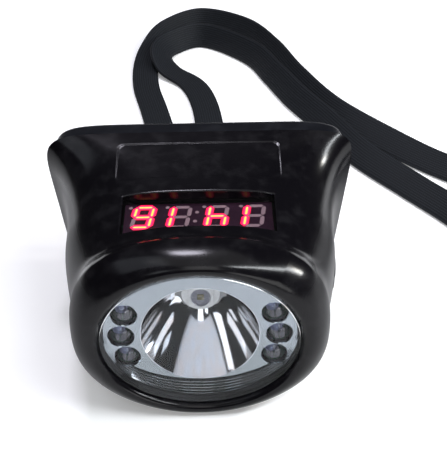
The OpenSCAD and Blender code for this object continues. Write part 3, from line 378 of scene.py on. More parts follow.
def webbing_finish():
    """Woven nylon: ribs across the strap and lengthwise cords.

    along and across are stored on the strap in millimetres.
    """
    finish = Finish("woven_nylon", (0.006, 0.006, 0.008), 0.62, Sheen_Weight=0.02,
                    Sheen_Roughness=0.5, Specular_IOR_Level=0.15)
    along, across = finish.attribute("along"), finish.attribute("across")
    column = (across * (2 * math.pi / COLUMN_W)).wave()
    shift = (across * (math.pi / COLUMN_W)).wave().cut(0) * math.pi
    pick = (along * (2 * math.pi / PICK_L) + shift).wave()
    weave = (column * 0.5 + 0.5) * 0.6 + (pick * 0.5 + 0.5) * 0.4
    fuzz = finish.noise(0.5, 4, 0.7)
    finish.set("Base Color", finish.blend((weave * 0.7 + fuzz * 0.5).soft(0.3, 1.1),
               (0.0025, 0.003, 0.004), (0.014, 0.017, 0.022)))
    finish.set("Roughness", 0.5 + 0.25 * fuzz)
    finish.relief(weave + fuzz * 0.35, 0.1, 0.8)
    return finish.material


WEBBING = webbing_finish()


# --- mesh helpers ---------------------------------------------------------------
WELD, CAD_WELD = 1e-6, 2e-6              # distances in metres under which points are one


def piece(name, mesh, material, body="lamp", smooth=30):
    """Puts a mesh in the scene as a piece of the lamp."""
    obj = in_scene(name, mesh)
    if mesh.materials:
        mesh.materials.clear()
    for one in (material if isinstance(material, (list, tuple)) else [material]):
        mesh.materials.append(one)
    if smooth:
        mesh.shade_smooth()
        mesh.set_sharp_from_angle(angle=math.radians(smooth))
    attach(obj, body)
    return obj


def plain_mesh(name, points, faces=()):
    mesh = bpy.data.meshes.new(name)
    mesh.from_pydata(points, [], faces)
    return mesh


def discard(objects, meshes):
    for one in objects:
        bpy.data.objects.remove(one)
    for one in meshes:
        bpy.data.meshes.remove(one)


def lofted(name, rings, closed=False, capped=False):
    """Mesh over a row of rings of equal length, each a list of points in metres."""
    grid = np.asarray(rings, float)
    rows, n = grid.shape[:2]
    faces = []
    for r in range(rows if closed else rows - 1):
        a, b = r * n, (r + 1) % rows * n
        for i in range(n):
            j = (i + 1) % n
            faces.append((a + i, b + i, b + j, a + j))
    if capped:
        faces.append(tuple(range(n)))
        faces.append(tuple((rows - 1) * n + i for i in reversed(range(n))))
    return plain_mesh(name, grid.reshape(-1, 3).tolist(), faces)


def edit(mesh, *changes):
    """Makes changes to a mesh, each a function of the opened mesh, and gives the mesh back."""
    work = bmesh.new()
    work.from_mesh(mesh)
    for change in changes:
        change(work)
    work.to_mesh(mesh)
    work.free()
    return mesh


def weld(work, reach=WELD):
    bmesh.ops.remove_doubles(work, verts=work.verts, dist=reach)


def turn_outwards(work):
    bmesh.ops.recalc_face_normals(work, faces=work.faces)


def turn_upwards(work):
    work.normal_update()
    for face in work.faces:
        if face.normal.z < 0:
            face.normal_flip()


def fill_ends(work):
    """Closes the open ends of a turned shape with flat faces."""
    bmesh.ops.holes_fill(work, edges=[e for e in work.edges if e.is_boundary], sides=0)


def merge_flat(work):
    """Makes one face of the faces that lie in one plane."""
    bmesh.ops.dissolve_limit(work, angle_limit=math.radians(0.5), verts=work.verts, edges=work.edges)


def face_outwards(mesh):
    return edit(mesh, weld, turn_outwards)


def close_ends(mesh):
    return edit(mesh, fill_ends, turn_outwards)


def evaluated_mesh(obj):
    """Plain mesh of an object as its modifiers leave it."""
    bpy.context.view_layer.update()
    return bpy.data.meshes.new_from_object(obj.evaluated_get(bpy.context.evaluated_depsgraph_get()))


def combined(operation, mesh, other):
    """Boolean of two closed meshes, which are used up."""
    name = mesh.name
    pair = [in_scene("combined", one) for one in (mesh, other)]
    step = pair[0].modifiers.new("combined", "BOOLEAN")
    step.operation, step.solver, step.object = operation, "EXACT", pair[1]
    result = evaluated_mesh(pair[0])
    discard(pair, (mesh, other))
    result.name = name
    return result


def join_meshes(name, meshes):
    """One mesh from several, which are used up."""
    joined = bpy.data.meshes.new(name)
    work = bmesh.new()
    for mesh in meshes:
        work.from_mesh(mesh)
        bpy.data.meshes.remove(mesh)
    work.to_mesh(joined)
    work.free()
    return joined


def turned(name, profile, sides, closed=False):
    """Turned shape at the origin, about the lens axis's direction: profile is (radius, forward)."""
    rings = [[(r * MM * math.cos(a), -h * MM, r * MM * math.sin(a)) for a in around(sides)]
             for r, h in profile]
    return lofted(name, rings, closed=closed)


def revolved(name, profile, sides, place, closed=False):
    """Turned shape put at a place (x, s, z) of the drawing."""
    mesh = turned(name, profile, sides, closed)
    mesh.transform(Matrix.Translation(at(*place)))
    return mesh


def box_mesh(name, low, high, edge, local=False):
    """Box between two points of the drawing (x, s, z), or of a shape of its own, its edges rounded."""
    a, b = ((np.array((x, -s, z)) * MM if local else np.array(at(x, s, z))) for x, s, z in (low, high))
    corner, size = np.minimum(a, b), np.abs(b - a)
    place = Matrix.Translation(corner + size / 2) @ Matrix.Diagonal((*size, 1))

    def shape(work):
        bmesh.ops.create_cube(work, size=1, matrix=place)
        bmesh.ops.bevel(work, geom=list(work.edges), offset=edge * MM, segments=2, affect="EDGES",
                        profile=0.5)

    return edit(bpy.data.meshes.new(name), shape)


def store(mesh, name, values):
    """Keeps one number per vertex for a finish to read."""
    layer = mesh.attributes.new(name, "FLOAT", "POINT")
    layer.data.foreach_set("value", np.asarray(values, np.float32).ravel())


def store_by_place(mesh, name, rule):
    """Stores a number that follows from each vertex's place on the drawing (x, s, z)."""
    places = [(v.co.x / MM, RIM_Y - v.co.y / MM, v.co.z / MM - AXIS_H) for v in mesh.vertices]
    store(mesh, name, [float(rule(*place)) for place in places])


def smooth_copy(node, material, name, body="lamp", bevel_mm=0.0):
    """A smooth-shaded copy of a CAD node that stands for it."""
    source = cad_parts[node]
    mesh = source.data.copy()
    mesh.transform(source.matrix_world)
    edit(mesh, lambda work: weld(work, CAD_WELD), merge_flat)
    mesh.name = name
    obj = piece(name, mesh, material, body, smooth=28)
    if bevel_mm:
        edge = obj.modifiers.new("edge", "BEVEL")
        edge.width, edge.segments, edge.limit_method = bevel_mm * MM, 2, "ANGLE"
        edge.angle_limit, edge.harden_normals = math.radians(40), False
    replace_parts(obj, node)
    return obj


# --- lanyard strap ----------------------------------------------------------------
STRAP_STEPS, PATH_STRIDE, END_LIFT = 900, 4, 4.7
# x, way back from the rim, turn from flat (0) by on edge (90) to face down (180), lift off the floor
STRAP_ROUTE = [(-5.7, 16.2, 0, END_LIFT),
    (-6, 26, 0, 2.6), (-8, 43, 0, 0), (-12, 65, 0, 0), (-16.5, 88, 0, 0), (-20, 105, 0, 0),
    (-21, 121, 4, 0), (-19, 133, 24, 0), (-13.5, 145, 57, 0), (-1, 154, 75, 0),
    (15, 144, 67, 0), (24, 126, 56, 0), (30.5, 105, 48, 0), (40.5, 81.5, 40, 0),
    (56.5, 61, 26, 0), (70.5, 46, 22, 0), (88, 30.5, 45, 0), (101, 15.5, 70, 0),
    (101, 0, 85, 0), (89.5, -6.5, 95, 0), (78.5, 1.5, 115, 0), (73, 12.5, 135, 0),
    (66, 25.5, 156, 0), (57.5, 38, 158, 0), (46, 55, 150, 0), (37, 75, 140, 0),
    (29.5, 91, 135, 0), (23.5, 107, 128, 0), (16, 124, 115, 0), (0, 139, 105, 0),
    (-11, 134.5, 120, 0), (-15.5, 125.5, 142, 0.8), (-12.5, 116, 172, 0.5), (-4.5, 106.5, 180, 0),
    (0, 91, 180, 0), (2.5, 66, 180, 0), (4.8, 42, 180, 0), (6, 26, 180, 2.6),
    (5.7, 16.2, 180, END_LIFT)]


def strap_line(steps):
    """Centre points, and the turn at each, along the strap's route."""
    route = np.array(STRAP_ROUTE, float)
    first, last = route[1].copy(), route[-2].copy()
    first[1:] = 2 * route[0][1] - route[1][1], 0, END_LIFT
    last[1:] = 2 * route[-1][1] - route[-2][1], 180, END_LIFT
    p = np.vstack([first, route, last])
    u = np.linspace(0, len(route) - 1, steps)
    k = np.minimum(len(route) - 2, u.astype(int))
    t = (u - k)[:, None]
    a, b, c, d = p[k], p[k + 1], p[k + 2], p[k + 3]
    r = b + (c - a) * t / 2 + (2 * a - 5 * b + 4 * c - d) * t**2 / 2 + (3 * b - 3 * c + d - a) * t**3 / 2
    turn = np.radians(r[:, 2])
    height = np.maximum(0, r[:, 3]) + STRAP_W / 2 * abs(np.sin(turn)) + STRAP_T / 2 * abs(np.cos(turn))
    return np.stack([r[:, 0], RIM_Y + r[:, 1], height], 1), turn


BAND_SIDES, BAND_FLAT, BAND_EDGE = 20, 0.35, 0.6        # points round a band, and how square it is
FLOOR_GAP = 0.02


def band_rings(centre, wide, flat, width, thick):
    """Rings of a woven band with rounded edges, and the place across it of each ring's points."""
    c, w = np.cos(around(BAND_SIDES)), np.sin(around(BAND_SIDES))
    x = np.sign(c) * np.abs(c) ** BAND_FLAT * width / 2
    y = np.sign(w) * np.abs(w) ** BAND_EDGE * thick / 2
    return centre[:, None] + wide[:, None] * x[None, :, None] + flat[:, None] * y[None, :, None], x


def band_mesh(name, rings, centre, across):
    """Mesh over a band's rings that carries its places along and across in millimetres."""
    mesh = lofted(name, rings, capped=True)
    length = np.r_[0, np.cumsum(np.linalg.norm(np.diff(centre, axis=0), axis=1))]
    store(mesh, "along", np.repeat(length, len(across)))
    store(mesh, "across", np.tile(across, len(centre)))
    return face_outwards(mesh), float(length[-1])


def make_strap():
    """The lanyard: one woven band from the bar round its loop on the floor and back."""
    centre, turn = strap_line(STRAP_STEPS)
    way = np.gradient(centre, axis=0)
    way[0] = way[-1] = (0, 1, 0)
    way[-1] *= -1
    way /= np.linalg.norm(way, axis=1)[:, None]
    side = np.stack([-way[:, 1], way[:, 0], 0 * way[:, 0]], 1)
    side /= np.linalg.norm(side, axis=1)[:, None]
    up = np.cross(way, side)
    wide = side * np.cos(turn)[:, None] + up * np.sin(turn)[:, None]
    rings, across = band_rings(centre, wide, np.cross(way, wide), STRAP_W, STRAP_T)
    rings[:, :, 2] = np.maximum(rings[:, :, 2], FLOOR_GAP)
    mesh, length = band_mesh("lanyard_webbing", rings * MM, centre, across)
    strap = piece("lanyard_webbing", mesh, WEBBING, smooth=50)
    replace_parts(strap, "lanyard_strap")
    length * MM


make_strap()


# --- floor and light -----------------------------------------------------------
FLOOR_HALF, FLOOR_LIFT, WORLD_LEVEL = 3, 0.2, 0.045
LAMP_MIDDLE, BROW, WHITE = (0, 0, 20), (19, -27, 35), (1, 1, 1)
# name, width and height, power, place, target, colour, and which way the width runs if it matters
LIGHTS = [
    ("overhead", (700, 700), 1.3, (40, -60, 760), LAMP_MIDDLE, WHITE, None),
    ("back", (110, 80), 1.3, (-56, 208, 534), (-2, -27, 40), (0.9, 0.87, 1.0), None),
    ("brow_strip", (570, 40), 3.0, (355, -103, 366), BROW, (0.93, 0.97, 1.0), (396, 367, -285)),
    ("right", (44, 50), 0.8, (556, 58, 289), BROW, (1.0, 0.96, 0.88), None),
    ("left", (360, 360), 0.5, (-355, -9, 543), LAMP_MIDDLE, (0.85, 0.9, 1.0), None),
    ("low_right", (1000, 414), 4.6, (735, -1275, 333), LAMP_MIDDLE, WHITE, None),
    ("front_card", (285, 449), 1.0, (16, -636, 656), LAMP_MIDDLE, WHITE, None),
    ("upper_left", (158, 190), 0.24, (-319, -654, 549), LAMP_MIDDLE, (0.9, 0.95, 1.0), None)]


def make_floor():
    """White floor; where it is seen, or mirrored in metal and glass, it is lifted to white."""
    corners = [(i * FLOOR_HALF, j * FLOOR_HALF, 0) for i, j in ((-1, -1), (1, -1), (1, 1), (-1, 1))]
    mesh = plain_mesh("floor", corners, [(0, 1, 2, 3)])
    floor = in_scene("floor", mesh)
    finish = Finish("pale_floor", (0.9, 0.9, 0.9), 0.9, Specular_IOR_Level=0.0)
    ray = finish.node("ShaderNodeLightPath")
    seen = ray.out("Is Camera Ray") + ray.out("Is Glossy Ray") + ray.out("Is Transmission Ray")
    lift = finish.node("ShaderNodeEmission", (), {0: (1.0, 1.0, 1.0), 1: FLOOR_LIFT * seen.least(1.0)})
    both = finish.node("ShaderNodeAddShader", (), {0: lift.out(0)})
    finish.tree.links.new(finish.shader.outputs[0], both.node.inputs[1])
    finish.tree.links.new(both.node.outputs[0], finish.output.inputs[0])
    mesh.materials.append(finish.material)


def make_light(name, size, power, place, target, color, along):
    """Soft box of size (width, height) in millimetres, aimed at a point; along turns its width that way."""
    data = bpy.data.lights.new(name, "AREA")
    data.shape, data.size, data.size_y = "RECTANGLE", size[0] * MM, size[1] * MM
    data.energy, data.color = power, color
    light = in_scene(name, data)
    start, end = Vector(place) * MM, Vector(target) * MM
    turn = (end - start).to_track_quat("-Z", "Y").to_matrix()
    if along:
        back = (start - end).normalized()
        wide = Vector(along) - Vector(along).dot(back) * back
        turn = Matrix((wide.normalized(), back.cross(wide).normalized(), back)).transposed()
    light.matrix_world = Matrix.Translation(start) @ turn.to_4x4()


def make_world():
    world = bpy.data.worlds.new("studio")
    world.use_nodes = True
    shade = world.node_tree.nodes["Background"]
    shade.inputs[0].default_value = (*WHITE, 1)
    shade.inputs[1].default_value = WORLD_LEVEL
    bpy.context.scene.world = world


make_floor()
make_world()
for light in LIGHTS:
    make_light(*light)
bpy.context.scene.view_settings.view_transform = "Standard"


# --- housing ---------------------------------------------------------------------
def power(v, e):
    return np.sign(v) * np.abs(v) ** e


def tapered(s):
    """How far the body has drawn in at s, from waist (0) to shoulder (1)."""
    return ease((s - TAPER_S) / (SHOULDER_S - TAPER_S))


def half_w(s):
    return (WAIST_W / 2 + (RIM_W - WAIST_W) / 2 * np.exp(-s / FLARE_L)
            - (WAIST_W - BEZEL_W) / 2 * tapered(s))


def rise(s):
    flank = lerp(RIM_RISE, WAIST_RISE, np.sin(np.pi / 2 * min(s / DIP_S, 1)))
    return flank if s < DIP_S else lerp(WAIST_RISE, BROW_RISE, ease((s - DIP_S) / (SHOULDER_S - DIP_S)))


def squareness(s):
    return lerp(BODY_SQUARE + (RIM_SQUARE - BODY_SQUARE) * np.exp(-s / SQUARE_L), SHOULDER_SQUARE, tapered(s))


def oval(q, s, a, up, down, n=2.0, taper=0.0):
    """Points (x, s, z) of an oval cross-section at the angles q."""
    height = np.where(np.sin(q) >= 0, up, down)
    z = height * power(np.sin(q), 2 / n)
    x = a * power(np.cos(q), 2 / n) * (1 - taper * (up - z) / (up + down))
    return np.stack([x, np.full_like(x, s), z], 1)


def body_section(q, s, inset=0.0):
    return oval(q, s, half_w(s) - inset, rise(s) - inset, DROP - inset, squareness(s),
                RIM_TAPER * math.exp(-s / TAPER_L))


TOP_X = 20.2                              # half width of the part of the top that is ruled in x
EDGE, EDGE_DROP = 0.09, 0.15              # a third of the rounding round the window, and its depth
RECESS_EDGE, RECESS_ROUND = 0.1, 0.16     # half width of the recess's wall, and with its rounding
SKIN = 0.01                               # a step too small to see, between two rings
NARROWEST, TOP_STEP, ROW_STEP, ROW_GAP, CORNER_STEP = 0.05, 0.45, 0.75, 0.3, 0.25
SIDE_STEPS, NOSE_STEPS, LIP_STEPS = 84, 24, 8
HOLE_DEEP, SEAT_DEEP, HOLE_OUT = 9, 1.2, 4
FLANK_FROM, FLANK_SHARE, FLANK_TOP, FLANK_FADE = 0.6, 0.35, 14, 4
PANE_STEP, PANE_HOLE = 0.1, 0.2           # depth behind the pane where its hole narrows, and its margin
HALVINGS = 40
WINDOW_A, WINDOW_B = WINDOW_S - WINDOW_L / 2, WINDOW_S + WINDOW_L / 2
PANEL_A, PANEL_B = PANEL_S - PANEL_L / 2, PANEL_S + PANEL_L / 2
RECESS_MARKS = (-RECESS_ROUND, -RECESS_EDGE, RECESS_EDGE, RECESS_ROUND)


def top_places():
    """Places across the top, close together at the edges of the window and the label recess."""
    marks = [WINDOW_W / 2, WINDOW_W / 2 + EDGE, WINDOW_W / 2 + 3 * EDGE, TOP_X]
    marks += [PANEL_W / 2 + off for off in RECESS_MARKS]
    even = np.arange(0, WINDOW_W / 2 - ROW_GAP, TOP_STEP).tolist()
    corner = np.arange(PANEL_W / 2 - PANEL_R, PANEL_W / 2 - 0.35, 0.2).tolist()
    half = sorted(set(round(v, 4) for v in even + corner + marks))
    keep = [half[0]]
    for v in half[1:]:
        if v - keep[-1] > NARROWEST:
            keep.append(v)
    return np.array([-v for v in reversed(keep[1:])] + keep)


def angle_at(x, section):
    """Angle on the section's upper half where its sideways place is x, by halving."""
    low, high = np.full(len(x), 1e-6), np.full(len(x), math.pi - 1e-6)
    for _ in range(HALVINGS):
        q = (low + high) / 2
        wide = section(q)[:, 0] > x
        low, high = np.where(wide, q, low), np.where(wide, high, q)
    return (low + high) / 2


def ring_angles(section):
    """Angles of one ring's columns: the ruled top from +x to -x, then round underneath."""
    top = angle_at(top_places()[::-1], section)
    left, right = top[-1], top[0]
    under = np.linspace(left, right + 2 * math.pi, 2 * SIDE_STEPS + 1)[1:-1]
    return np.concatenate([top, under])


def panel_depth(x, s):
    """Depth of the label recess, eased over its edge."""
    dx = np.abs(x) - (PANEL_W / 2 - PANEL_R)
    ds = np.abs(s - PANEL_S) - (PANEL_L / 2 - PANEL_R)
    outside = np.hypot(np.maximum(dx, 0), np.maximum(ds, 0)) + np.minimum(np.maximum(dx, ds), 0) - PANEL_R
    return PANEL_RECESS * (1 - ease((outside + RECESS_EDGE) / (2 * RECESS_EDGE)))


def outer_rows():
    """Distances forward of the rim for the body's rings."""
    rows = [0, 0.15, 0.4]
    rows += [edge + off for edge in (PANEL_A, PANEL_B) for off in RECESS_MARKS]
    rows += [edge + way * k * EDGE for edge, way in ((WINDOW_A, -1), (WINDOW_B, 1)) for k in (0, 1, 3)]
    rows += list(np.arange(PANEL_A + 0.5, PANEL_A + PANEL_R, CORNER_STEP))
    rows += list(np.arange(PANEL_B - PANEL_R, PANEL_B - 0.4, CORNER_STEP))
    for v in np.arange(0.8, SHOULDER_S, ROW_STEP):
        if min(abs(v - w) for w in rows) > ROW_GAP and not (WINDOW_A < v < WINDOW_A + 0.2):
            rows.append(v)
    return sorted(rows)


def window_plane(s, depth):
    """Height of the plane that lies depth below the window's middle, at the window's tilt."""
    return rise(WINDOW_S) - depth - (s - WINDOW_S) * math.tan(math.radians(WINDOW_TILT))


def body_rings(rows):
    """Rings of the body's outside, with the label recess, and of its inside."""
    outer, inner = [], []
    for s in rows:
        ring = body_section(ring_angles(lambda v: body_section(v, s)), s)
        ring[:, 2] -= panel_depth(ring[:, 0], s) * (ring[:, 2] > 0)
        outer.append(ring)
        inset = lerp(RIM_LAND, WALL, float(ease(s / SQUARE_L)))
        inner.append(body_section(ring_angles(lambda v: body_section(v, s, inset)), s, inset))
    return outer, inner


def front_rings():
    """Rings of the nose, of the lip rolled in round the lens, and of the lens's seat."""
    angles = ring_angles(lambda v: body_section(v, SHOULDER_S))
    lip_a, lip_b = LENS_W / 2 + LIP_R, LENS_H / 2 + LIP_R
    rings = []
    for k in range(NOSE_STEPS + 1):
        turn = math.pi / 2 * k / NOSE_STEPS
        a, up, down = (lerp(lip, body, math.cos(turn)) for lip, body in
                       ((lip_a, float(half_w(SHOULDER_S))), (lip_b, BROW_RISE), (lip_b, DROP)))
        rings.append(oval(angles, SHOULDER_S + NOSE_L * math.sin(turn), a, up, down,
                          lerp(SHOULDER_SQUARE, 2, math.sin(turn))))
    for k in range(1, LIP_STEPS + 1):
        turn = math.pi / 2 * k / LIP_STEPS
        a, b = (half + LIP_R * (1 - math.sin(turn)) for half in (LENS_W / 2, LENS_H / 2))
        rings.append(oval(angles, LIP_S + LIP_R * math.cos(turn), a, b, b))
    seat = [oval(angles, s, a, b, b) for s, a, b in
            ((SPACER_FRONT_S + SKIN, LENS_W / 2, LENS_H / 2),
             (SPACER_FRONT_S, LENS_W / 2 + SKIN, LENS_H / 2 + SKIN),
             (SPACER_FRONT_S, POCKET_A, POCKET_B), (POCKET_S, POCKET_A, POCKET_B))]
    return rings, seat


def button_cutter():
    """The seat of the button's collar and the hole under it, as a solid to cut with."""
    flank = float(half_w(BUTTON_S))
    hole, collar = BUTTON_D / 2 + BUTTON_GAP, BUTTON_D / 2 + COLLAR_W
    profile = [(-HOLE_DEEP, hole), (-SEAT_DEEP, hole), (-SEAT_DEEP, collar), (HOLE_OUT, collar)]
    rings = [[at(flank + out, BUTTON_S + r * math.cos(a), -BUTTON_DOWN + r * math.sin(a)) for a in around(96)]
             for out, r in profile]
    return edit(lofted("cutter", rings, capped=True), turn_outwards)


def flank_share(x, s, z):
    """How far a place lies out on the flanks, which are a little duller than the top."""
    outwards = abs(x) / half_w(min(s, SHOULDER_S))
    return ease((outwards - FLANK_FROM) / FLANK_SHARE) * ease((FLANK_TOP - z) / FLANK_FADE)


def nearest(values, wanted):
    return int(np.argmin(np.abs(np.asarray(values) - wanted)))


def make_housing():
    """One closed skin: out over the body, in at the lip, back along the inside, and through the window."""
    rows, across = outer_rows(), top_places()[::-1]
    columns = len(across) + 2 * SIDE_STEPS - 1
    outer, inner = body_rings(rows)
    front, seat = front_rings()
    last_inner = max(k for k, s in enumerate(rows) if s < CAVITY_S)
    grid = np.array(outer + front + seat + inner[last_inner::-1])
    total, first_inner = len(grid), len(grid) - last_inner - 1
    is_outside = np.arange(total) < len(rows) + len(front)
    grid[:, :, 2] = np.maximum(grid[:, :, 2], -AXIS_H + np.where(is_outside, 0, WALL)[:, None])

    row_a, row_b = (nearest(rows, s) for s in (WINDOW_A, WINDOW_B))
    col_a, col_b = (nearest(across, x) for x in (WINDOW_W / 2, -WINDOW_W / 2))
    for k in range(len(rows)):
        for i in range(len(across)):
            off = max(abs(rows[k] - WINDOW_S) - WINDOW_L / 2, abs(across[i]) - WINDOW_W / 2)
            if -SKIN < off < 3 * EDGE:
                grid[k, i, 2] -= EDGE_DROP * (1 - off / (3 * EDGE)) ** 2
    vertices = [at(*p) for p in grid.reshape(-1, 3)]
    faces = []
    for k in range(total):
        a, b = k * columns, (k + 1) % total * columns
        in_rows = row_a <= k < row_b or (k >= first_inner and row_a <= total - 2 - k < row_b)
        for i in range(columns):
            j = (i + 1) % columns
            if not (in_rows and col_a <= i < col_b):
                faces.append((a + i, a + j, b + j, b + i))
    # walls of the window: down to the pane, out round it, and on to the inside
    loop = ([(row_a, i) for i in range(col_a, col_b)] + [(k, col_b) for k in range(row_a, row_b)]
            + [(row_b, i) for i in range(col_b, col_a, -1)] + [(k, col_a) for k in range(row_b, row_a, -1)])
    levels = [[k * columns + i for k, i in loop]]
    pane_back = WINDOW_RECESS + PANE_T
    for depth, grow in ((WINDOW_RECESS, 0), (WINDOW_RECESS, PANE_MARGIN), (pane_back, PANE_MARGIN),
                        (pane_back + PANE_STEP, PANE_HOLE)):
        start = len(vertices)
        for k, i in loop:
            x = across[i] + grow * ((i == col_a) - (i == col_b))
            s = rows[k] + grow * ((k == row_b) - (k == row_a))
            vertices.append(at(x, s, window_plane(s, depth)))
        levels.append(list(range(start, start + len(loop))))
    levels.append([(total - 1 - k) * columns + i for k, i in loop])
    for a, b in zip(levels, levels[1:]):
        for i in range(len(loop)):
            j = (i + 1) % len(loop)
            faces.append((a[i], a[j], b[j], b[i]))
    mesh = face_outwards(plain_mesh("moulded_housing", vertices, faces))
    mesh = combined("DIFFERENCE", mesh, button_cutter())
    store_by_place(mesh, "flank", flank_share)
    housing = piece("moulded_housing", mesh, HOUSING, smooth=38)
    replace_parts(housing, "front_housing")


make_housing()


# --- copies of one shape ------------------------------------------------------------
def link_nodes(tree, *pairs):
    for (a, out), (b, into) in pairs:
        tree.links.new(a.outputs[out], b.inputs[into])


def repeater():
    """Node tree that puts a shape at each point, each turned at random about the lens axis."""
    tree = bpy.data.node_groups.new("copies_at_points", "GeometryNodeTree")
    for name, kind in (("Points", "Geometry"), ("Shape", "Object"), ("Size", "Float"), ("Most turn", "Float"),
                       ("Seed", "Int"), ("Finish", "Material")):
        tree.interface.new_socket(name=name, in_out="INPUT", socket_type="NodeSocket" + kind)
    tree.interface.new_socket(name="Copies", in_out="OUTPUT", socket_type="NodeSocketGeometry")
    given, result = tree.nodes.new("NodeGroupInput"), tree.nodes.new("NodeGroupOutput")
    shape = tree.nodes.new("GeometryNodeObjectInfo")
    chance = tree.nodes.new("FunctionNodeRandomValue")
    chance.data_type = "FLOAT"
    angles = tree.nodes.new("ShaderNodeCombineXYZ")
    turn = tree.nodes.new("FunctionNodeEulerToRotation")
    copies = tree.nodes.new("GeometryNodeInstanceOnPoints")
    real = tree.nodes.new("GeometryNodeRealizeInstances")
    finish = tree.nodes.new("GeometryNodeSetMaterial")
    link_nodes(tree, ((given, "Shape"), (shape, "Object")), ((given, "Most turn"), (chance, 3)),
               ((given, "Seed"), (chance, "Seed")), ((chance, 1), (angles, "Y")), ((angles, 0), (turn, 0)),
               ((given, "Points"), (copies, "Points")), ((shape, "Geometry"), (copies, "Instance")),
               ((turn, 0), (copies, "Rotation")), ((given, "Size"), (copies, "Scale")),
               ((copies, 0), (real, 0)), ((real, 0), (finish, "Geometry")),
               ((given, "Finish"), (finish, "Material")), ((finish, 0), (result, 0)))
    return tree


COPIES = repeater()


def copies_of(shape, places, material, most_turn=0.0, seed=1):
    """One plain mesh with a copy of the shape, which is used up, at every place (x, s, z)."""
    points = plain_mesh("points", [at(*p) for p in places])
    carrier, pattern = in_scene("copies", points), in_scene("copies", shape)
    inputs = {"Shape": pattern, "Size": 1.0, "Most turn": most_turn, "Seed": seed, "Finish": material}
    step = carrier.modifiers.new("copies", "NODES")
    step.node_group = COPIES
    for socket in COPIES.interface.items_tree:
        if socket.name in inputs:
            step[socket.identifier] = inputs[socket.name]
    result = evaluated_mesh(carrier)
    carrier.modifiers.remove(step)
    discard((carrier, pattern), (points, shape))
    return result


# --- reflector and lens ----------------------------------------------------------
LED_PLACES = [(i * (LED_MID_X if j == 0 else LED_END_X), j * LED_PITCH) for i in (-1, 1) for j in (-1, 0, 1)]
POST_AWAY, POST_ANGLE, STAR_POST_X = 14.0, 43.3, 9.5
POST_X, POST_Z = (POST_AWAY * turn(math.radians(POST_ANGLE)) for turn in (math.cos, math.sin))
REFLECTOR_POSTS = [(i * POST_X, j * POST_Z, LED_BOARD_S) for i in (-1, 1) for j in (-1, 1)]
REFLECTOR_POSTS += [(i * STAR_POST_X, 0, CUP_BASE_S) for i in (-1, 1)]
POST_R, POST_HOLE_R, POST_EDGE = 1.7, 0.8, 0.1
PLATE_EDGE, CUP_LIP, HOLLOW_GAP = 0.13, 0.14, 0.3
PLATE_SIDES, CUP_STEPS, CUP_SIDES = 160, 40, 180


def flat_plate(name, outline, holes, thick, edge):
    """Plate with holes in the plane of the lens, its edges chamfered; its face is at s = 0."""
    curve = bpy.data.curves.new(name, "CURVE")
    curve.dimensions, curve.fill_mode = "2D", "BOTH"
    curve.extrude, curve.bevel_depth, curve.bevel_resolution = (thick / 2 - edge) * MM, edge * MM, 0
    curve.offset = -edge * MM
    for points in [outline] + holes:
        spline = curve.splines.new("POLY")
        spline.points.add(len(points) - 1)
        for k, (x, z) in enumerate(points):
            spline.points[k].co = (x * MM, z * MM, 0, 1)
        spline.use_cyclic_u = True
    holder = in_scene(name, curve)
    mesh = evaluated_mesh(holder)
    bpy.data.objects.remove(holder)
    mesh.transform(Matrix.Rotation(math.pi / 2, 4, "X"))
    mesh.transform(Matrix.Translation((0, thick / 2 * MM, 0)))
    return mesh


def circle(x, z, r, count=64):
    return [(x + r * math.cos(a), z + r * math.sin(a)) for a in around(count)]


def ellipse(a, b):
    return [(a * math.cos(q), b * math.sin(q)) for q in around(PLATE_SIDES)]


def cup_radius(h):
    """Inner radius of the cup at the height h over its base."""
    base, rim = CUP_HOLE_D / 2, CUP_D / 2
    return math.sqrt(base**2 + (rim**2 - base**2) / CUP_L * h)


def make_reflector():
    """Mirror plate with holes for the LEDs, its turned cup, and the posts behind it."""
    rim = CUP_D / 2
    holes = [circle(x, z, LED_D / 2 + LED_HOLE_GAP) for x, z in LED_PLACES]
    holes.append(circle(0, 0, rim + 0.02, PLATE_SIDES))
    plate = flat_plate("plate", ellipse(PLATE_W / 2 + PLATE_MARGIN, PLATE_H / 2 + PLATE_MARGIN), holes,
                       PLATE_T, PLATE_EDGE)
    plate.transform(Matrix.Translation(at(0, PLATE_S, 0)))
    face_outwards(plate)

    def bowl(grow, shares):
        return [(cup_radius(CUP_L * t) + grow, CUP_L * (t - 1)) for t in shares]

    stops = [k / CUP_STEPS for k in range(CUP_STEPS, -1, -1)]
    profile = ([(rim + CUP_LIP, 0.0), (rim + 0.05, 0.02)] + bowl(0, stops) + bowl(PLATE_T, stops[:0:-1])
               + [(rim + CUP_LIP, -PLATE_T)])
    cup = face_outwards(revolved("cup", profile, CUP_SIDES, (0, PLATE_S, 0), closed=True))
    posts = []
    for x, z, back in REFLECTOR_POSTS:
        deep = PLATE_S - PLATE_T / 2 - back
        post = [(POST_HOLE_R, -deep), (POST_R - POST_EDGE, -deep), (POST_R, -deep + POST_EDGE), (POST_R, 0)]
        posts.append(close_ends(revolved("post", post, 32, (x, PLATE_S - PLATE_T / 2, z))))
    profile = [(rim + HOLLOW_GAP, 2)] + bowl(HOLLOW_GAP, stops)
    hollow = close_ends(revolved("hollow", profile, 96, (0, PLATE_S, 0)))
    posts = combined("DIFFERENCE", join_meshes("posts", posts), hollow)
    mesh = join_meshes("reflector_mirror", [plate, cup, posts])
    # painted shade: only the cup keeps the bright mirror; the plate round it is painted darker
    store_by_place(mesh, "polish", lambda x, s, z: math.hypot(x, z) < rim + 0.1)
    mirror = piece("reflector_mirror", mesh, MIRROR, smooth=32)
    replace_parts(mirror, "reflector")


